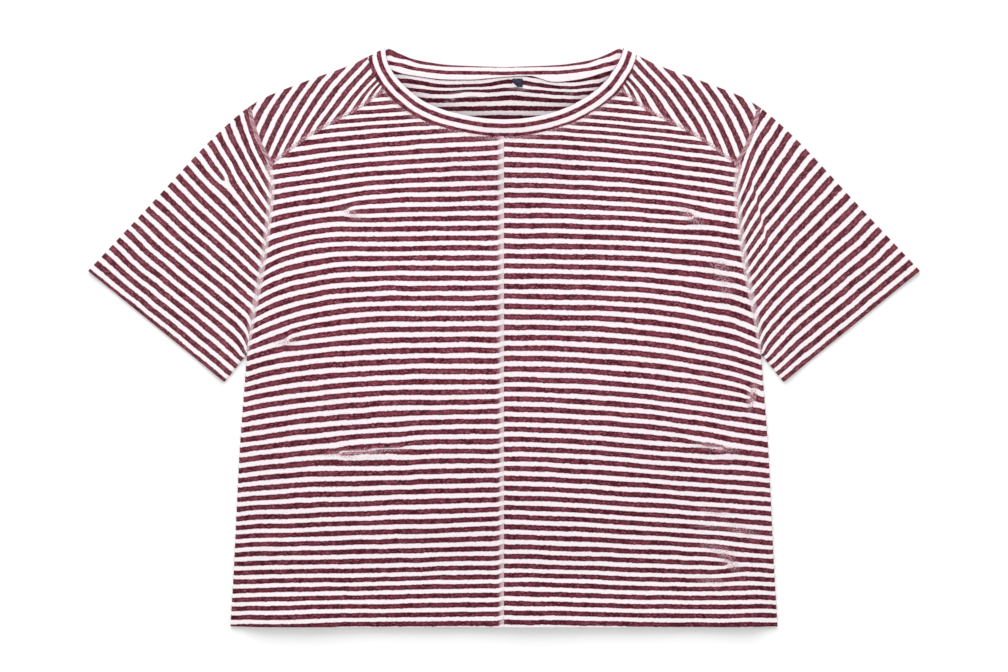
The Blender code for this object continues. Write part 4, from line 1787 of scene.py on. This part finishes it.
@dataclass
class Neckband(Sewn):
    """The doubled strip round the neck, standing at the front and flat at the back."""

    # How the stripes broaden at the front, lean and lean more at the back, and widen there.
    SHAPES = {Side.LEFT: (0.3, 3.6, 2.9, 0.32), Side.RIGHT: (1, 3, 2, 0.45)}

    patterns: dict[Side, Pattern]
    thickness: float = 2.0 * MM
    rounding: float = 0.55 * MM
    slot: str = "striped_band"
    held: str = "folded"
    fold_radius: float = 2.5 * MM
    step: float = 0.5 * MM
    crown: float = 3.6 * MM
    roll: float = 0.7 * MM
    front_start: float = 6.5  # where the stripes start below the rim, in mm
    front_pair: float = 9.1
    back_start: float = 6.3
    back_pair: float = 7.4
    across: int = 10
    turn_steps: int = 10
    flat: tuple[float, float] = (0.600, 0.0175)
    area: float = 0.0104

    def counted(self, gap: Array, row: BandRow, side: Side) -> Array:
        """Counts the stripes from the rim.

        Args:
            gap: how far each place is from the rim, in mm.
            row: the row that the places are on.
            side: where it lies.

        Returns:
            The count.
        """
        broad, lean, more, wide = self.SHAPES[side]
        broad = broad * float(smooth_step((row.along - 45) / 40))
        front = (gap - self.front_start - broad) / (self.front_pair + 0.25 * broad)
        x = abs(row.rim[0]) / MM
        drop = lean * (x / 104) ** 1.5 + more * float(smooth_step((x - 92) / 14))
        broader = 1 + wide * float(smooth_step((x - 76) / 30))
        behind = (gap - self.back_start - drop) / (self.back_pair * broader)
        behind = np.clip(behind, -1.2, 0.5)
        behind[0] = 0.9
        return front + (behind - front) * row.back

    def section(self, row: BandRow, side: Side) -> tuple[Array, Array]:
        """Points across the band.

        Args:
            row: where they lie.
            side: on which side.

        Returns:
            The places and the weave's six numbers.
        """
        share = np.linspace(0, 1, self.across + 1)
        plan = row.seam + (row.rim - row.seam) * share[:, None]
        swell = row.roll * np.sin(math.pi * share) ** 0.8
        height = row.low + (row.high - row.low) * share + swell
        count = self.counted(nearest(row.edge, plan)[0] / MM, row, side)
        return np.column_stack([side.put(plan), height]), plain_columns(row.along / PAIR, count)

    def front_rows(self, pattern: Pattern, seam_end: Array, rim_end: Array) -> list[BandRow]:
        """Draws the band from the centre front to the shoulder's fold.

        Args:
            pattern: the half's.
            seam_end: where its seam gets to the fold.
            rim_end: where its rim does.

        Returns:
            The rows, the last of which lies flat.
        """
        line = pattern.line
        seams = np.vstack([line["front_neck"], line["neck_side"][1:-1], seam_end])
        last = len(seams) - 1
        rims = curve(MIDDLE_RIM, NECK_LINES[pattern.side].rim, rim_end, last)
        edge, lengths = spaced(rims, 40), running_length(rims) / MM
        tops = pattern.lay.upper(pattern.side.put(seams)) + self.step
        rows = []
        for i, (seam, rim, top, along) in enumerate(zip(seams, rims, tops, lengths)):
            flat = float(smooth_step(i / last))
            low = top + (2 * self.fold_radius - top) * flat
            high, roll = low + self.crown * (1 - flat), self.roll * (1 - flat)
            rows.append(BandRow(seam, rim, low, high, roll, along, 0, edge))
        return rows

    def turn_rows(self, plan: Outline, seam_end: Array, rim_end: Array,
                  start: float) -> list[BandRow]:
        """Draws the band over the shoulder's fold.

        Args:
            plan: the half's outline.
            seam_end: where its seam gets to the fold.
            rim_end: where its rim does.
            start: the length reached before it, in mm.

        Returns:
            The rows.
        """
        rows = []
        for step in range(1, self.turn_steps):
            angle = math.pi * step / self.turn_steps
            seam = seam_end + (plan.neck_seam_point - seam_end) * math.sin(angle)
            rim = rim_end + (plan.neck_point - rim_end) * math.sin(angle)
            height = self.fold_radius * (1 + math.cos(angle))
            back = float(smooth_step(2 * step / self.turn_steps - 1))
            along = start + self.fold_radius / MM * angle
            tip = np.array([rim, rim + (0, MM)])
            rows.append(BandRow(seam, rim, height, height, 0, along, back, tip))
        return rows

    def back_rows(self, pattern: Pattern, seam_end: Array, rim_end: Array,
                  start: float) -> list[BandRow]:
        """Draws the band from the shoulder's fold to the centre back.

        Args:
            pattern: the half's.
            seam_end: where its seam leaves the fold.
            rim_end: where its rim does.
            start: the length reached before it, in mm.

        Returns:
            The rows.
        """
        seams = np.vstack([pattern.line["back_neck"][:-1], seam_end])
        rims = curve(MIDDLE_BACK_RIM, BACK_RIM, rim_end, len(seams) - 1)
        edge, lengths = spaced(rims, 30), running_length(rims) / MM
        return [
            BandRow(seam, rim, 0.0, 0.0, 0, start + lengths[-1] - length, 1, edge)
            for seam, rim, length in zip(seams[::-1], rims[::-1], lengths[::-1])
        ]

    def grids(self) -> list[Grid]:
        """Draws each half, from the centre front over to the centre back.

        Returns:
            The grids.
        """
        made = []
        for side, pattern in self.patterns.items():
            plan = pattern.plan
            lean = self.fold_radius * plan.neck_lean
            ends = (plan.neck_seam_point + lean, plan.neck_point + lean)
            rows = self.front_rows(pattern, *ends)
            start = rows[-1].along
            rows += self.turn_rows(plan, *ends, start)
            rows += self.back_rows(pattern, *ends, start + math.pi * self.fold_radius / MM)
            places, weave = zip(*(self.section(row, side) for row in rows))
            made.append(Grid(np.array(places), np.array(weave)))
        return made


class Cover(NamedTuple):
    """Threads that cover a seam: where, on which side of it, and how pale they are."""

    name: str
    line: str
    first: float
    last: float
    fade: float
    wear_and_shade: float
    solid: bool


COVERS = (
    Cover("armhole_low", "low_armhole", -1.4, 1.4, 0.5, 0.3, False),
    Cover("armhole_high", "high_armhole", 0.2, 4.2, 0.18, 0.55, True),
    Cover("forward", "forward", 0.2, 3.6, 0.05, 0.78, False),
)


@dataclass
class SeamCover(Sewn):
    """A narrow band of overlocking thread on one seam."""

    pattern: Pattern
    cover: Cover
    thickness: float = 0.4 * MM
    middle: float = 0.0
    rounding: float = 0.0
    stitch: float = 1.7 * MM
    row_step: float = 0.6 * MM
    sunk: float = 0.05 * MM
    lift: float = 0.22 * MM
    relief: float = 0.16 * MM
    across: int = 8

    def grids(self) -> list[Grid]:
        """Draws the band's rows along the seam.

        Returns:
            The grid.
        """
        line, side = self.pattern.line[self.cover.line], self.pattern.side
        steps = int(running_length(line)[-1] / self.row_step)
        line = spaced(line, steps)
        share = np.linspace(0, 1, self.across + 1)
        offsets = (self.cover.first + (self.cover.last - self.cover.first) * share) * MM
        plan = line[:, None] + normals_of(line)[:, None] * offsets[None, :, None]
        signed = side.put(plan.reshape(-1, 2))
        far = np.repeat(running_length(line), self.across + 1)
        wide = np.tile(share, steps + 1)
        beat = np.abs(np.sin(math.pi * (far / self.stitch + 0.5 * wide)))
        swell = (self.lift + self.relief * beat) * np.sin(math.pi * wide) ** 0.5
        height = self.pattern.lay.upper(signed) + swell - self.sunk
        places = np.column_stack([signed, height]).reshape(steps + 1, self.across + 1, 3)
        return [Grid(places, self.read(signed).reshape(steps + 1, self.across + 1, 6))]

    def read(self, signed: Array) -> Array:
        """Reads the weave that shows through the threads.

        Args:
            signed: signed places in metres.

        Returns:
            The weave's six numbers.
        """
        pattern, size = self.pattern, len(signed)
        host = pattern.front if self.cover.line == "low_armhole" else pattern.shoulders
        weave = host.read(signed)
        if self.cover.solid:
            weave.count = weave.turn = np.zeros(size)
        weave.fade, weave.wear_and_shade = np.full(size, self.cover.fade), np.full(size, self.cover.wear_and_shade)
        return weave.columns()


@dataclass
class LoopLabel(Sewn):
    """The small folded tape sewn in at the back of the neck."""

    x: float = 13.6 * MM
    top: float = 259 * MM
    bottom: float = 250.5 * MM
    width: float = 10 * MM
    thickness: float = 0.4 * MM
    base: float = 1.5 * MM
    bend: float = 0.55 * MM
    bulge: float = 0.25 * MM
    middle: float = 2.05 * MM
    rounding: float = 0.08 * MM
    slot: str = "dark_tape"
    held: str = "folded"
    columns: int = 7
    bend_steps: int = 8
    flat: tuple[float, float] = (0.010, 0.0185)
    area: float = 0.000185

    def grids(self) -> list[Grid]:
        """Draws the loop, from its lower end at the seam to its upper end.

        Returns:
            The grid.
        """
        half_way, high = (self.top + self.bottom) / 2, self.base + 2 * self.bend
        ends = [(self.top, self.base), (half_way, self.base)]
        for step in range(self.bend_steps + 1):
            angle = math.pi * step / self.bend_steps
            along = self.bottom + self.bend * (1 - math.sin(angle))
            ends.append((along, self.base + self.bend * (1 - math.cos(angle))))
        ends += [(half_way, high + self.bulge), (self.top, high)]
        share = np.linspace(0, 1, self.columns)
        x = self.x + self.width * (share - 0.5)
        rows, weave = [], []
        for (y, z), along in zip(ends, running_length(np.array(ends)) / MM):
            rows.append([(each, y, z) for each in x])
            weave.append(plain_columns(along, share * self.width / MM))
        return [Grid(np.array(rows), np.array(weave))]


# --- Studio.


@dataclass
class Studio:
    """The pale surface, the soft lights and the camera straight above."""

    floor_size: float = 14.0
    floor_drop: float = 0.05 * MM
    lens: float = 85.0
    sensor: float = 36.0
    nearest_seen: float = 0.05
    farthest_seen: float = 50.0
    camera_place: tuple[float, float, float] = (0, 1.5 * MM, 2.383)
    sky: float = 0.90
    key_place: tuple[float, float, float] = (-0.35, 2.0, 1.6)
    key_power: float = 40.0
    key_size: float = 2.2

    def floor(self) -> None:
        """The surface that it lies on."""
        mesh = bmesh.new()
        bmesh.ops.create_grid(mesh, x_segments=1, y_segments=1, size=self.floor_size / 2)
        bmesh.ops.translate(mesh, verts=mesh.verts, vec=(0, 0, -self.floor_drop))
        linked("pale_floor", mesh, PaperFinish().build())

    def lights(self) -> None:
        """An even sky and one large soft light from beyond the neck."""
        scene = bpy.context.scene
        world = scene.world or bpy.data.worlds.new("studio")
        scene.world = world
        world.use_nodes = True
        background = world.node_tree.nodes["Background"]
        background.inputs["Color"].default_value = (1, 1, 1, 1)
        background.inputs["Strength"].default_value = self.sky
        light = bpy.data.lights.new("key", "AREA")
        light.energy, light.size = self.key_power, self.key_size
        made = bpy.data.objects.new("key", light)
        made.location = self.key_place
        made.rotation_euler = (-Vector(self.key_place)).to_track_quat("-Z", "Y").to_euler()
        scene.collection.objects.link(made)

    def camera(self) -> None:
        """Looks straight down at the garment."""
        data = bpy.data.cameras.new("camera")
        data.lens, data.sensor_width = self.lens, self.sensor
        data.clip_start, data.clip_end = self.nearest_seen, self.farthest_seen
        made = bpy.data.objects.new("camera", data)
        made.location = self.camera_place
        bpy.context.scene.collection.objects.link(made)
        bpy.context.scene.camera = made

    def build(self) -> None:
        """Sets all of it up."""
        self.camera()
        self.floor()
        self.lights()
        bpy.context.scene.view_settings.view_transform = "Standard"


def report(piece: bpy.types.Object) -> bpy.types.Object:
    """Reports a finished piece, and hands it on."""
    log.info("%s: %d faces", piece.name, len(piece.data.polygons))
    return piece


def main() -> None:
    """Builds every piece."""
    logging.basicConfig(level=logging.INFO, format="%(message)s")
    Studio().build()
    patterns = {side: Pattern(side) for side in Side}
    knit = KnitFinish("striped_knit").build()
    band_knit = KnitFinish(
        "striped_band", dark_share=0.47, sway=0.06, rag=0.10, courses=9.0
    ).build()
    tape = TapeFinish().build()

    covers = {
        side: [
            report(SeamCover(pattern, cover).build(f"seam_{cover.name}_{side.word}", knit))
            for cover in COVERS
        ]
        for side, pattern in patterns.items()
    }
    over_back = [piece for pieces in covers.values() for piece in pieces[1:]]
    back = report(Back(patterns).build("knit_back", knit, "back", with_pieces=over_back))
    for side, pattern in patterns.items():
        word = side.word
        front = FrontHalf(pattern).build(
            f"knit_front_{word}", knit, f"front_{word}",
            rests_on=[back], with_pieces=covers[side][:1],
        )
        report(front)
        report(Sleeve(pattern).build(f"knit_sleeve_{word}", knit, f"sleeve_{word}"))
    report(Neckband(patterns).build("knit_neckband", band_knit, "neckband", rests_on=[back]))
    report(LoopLabel().build("tape_label", tape, "label", rests_on=[back]))


if __name__ == "__main__":
    main()
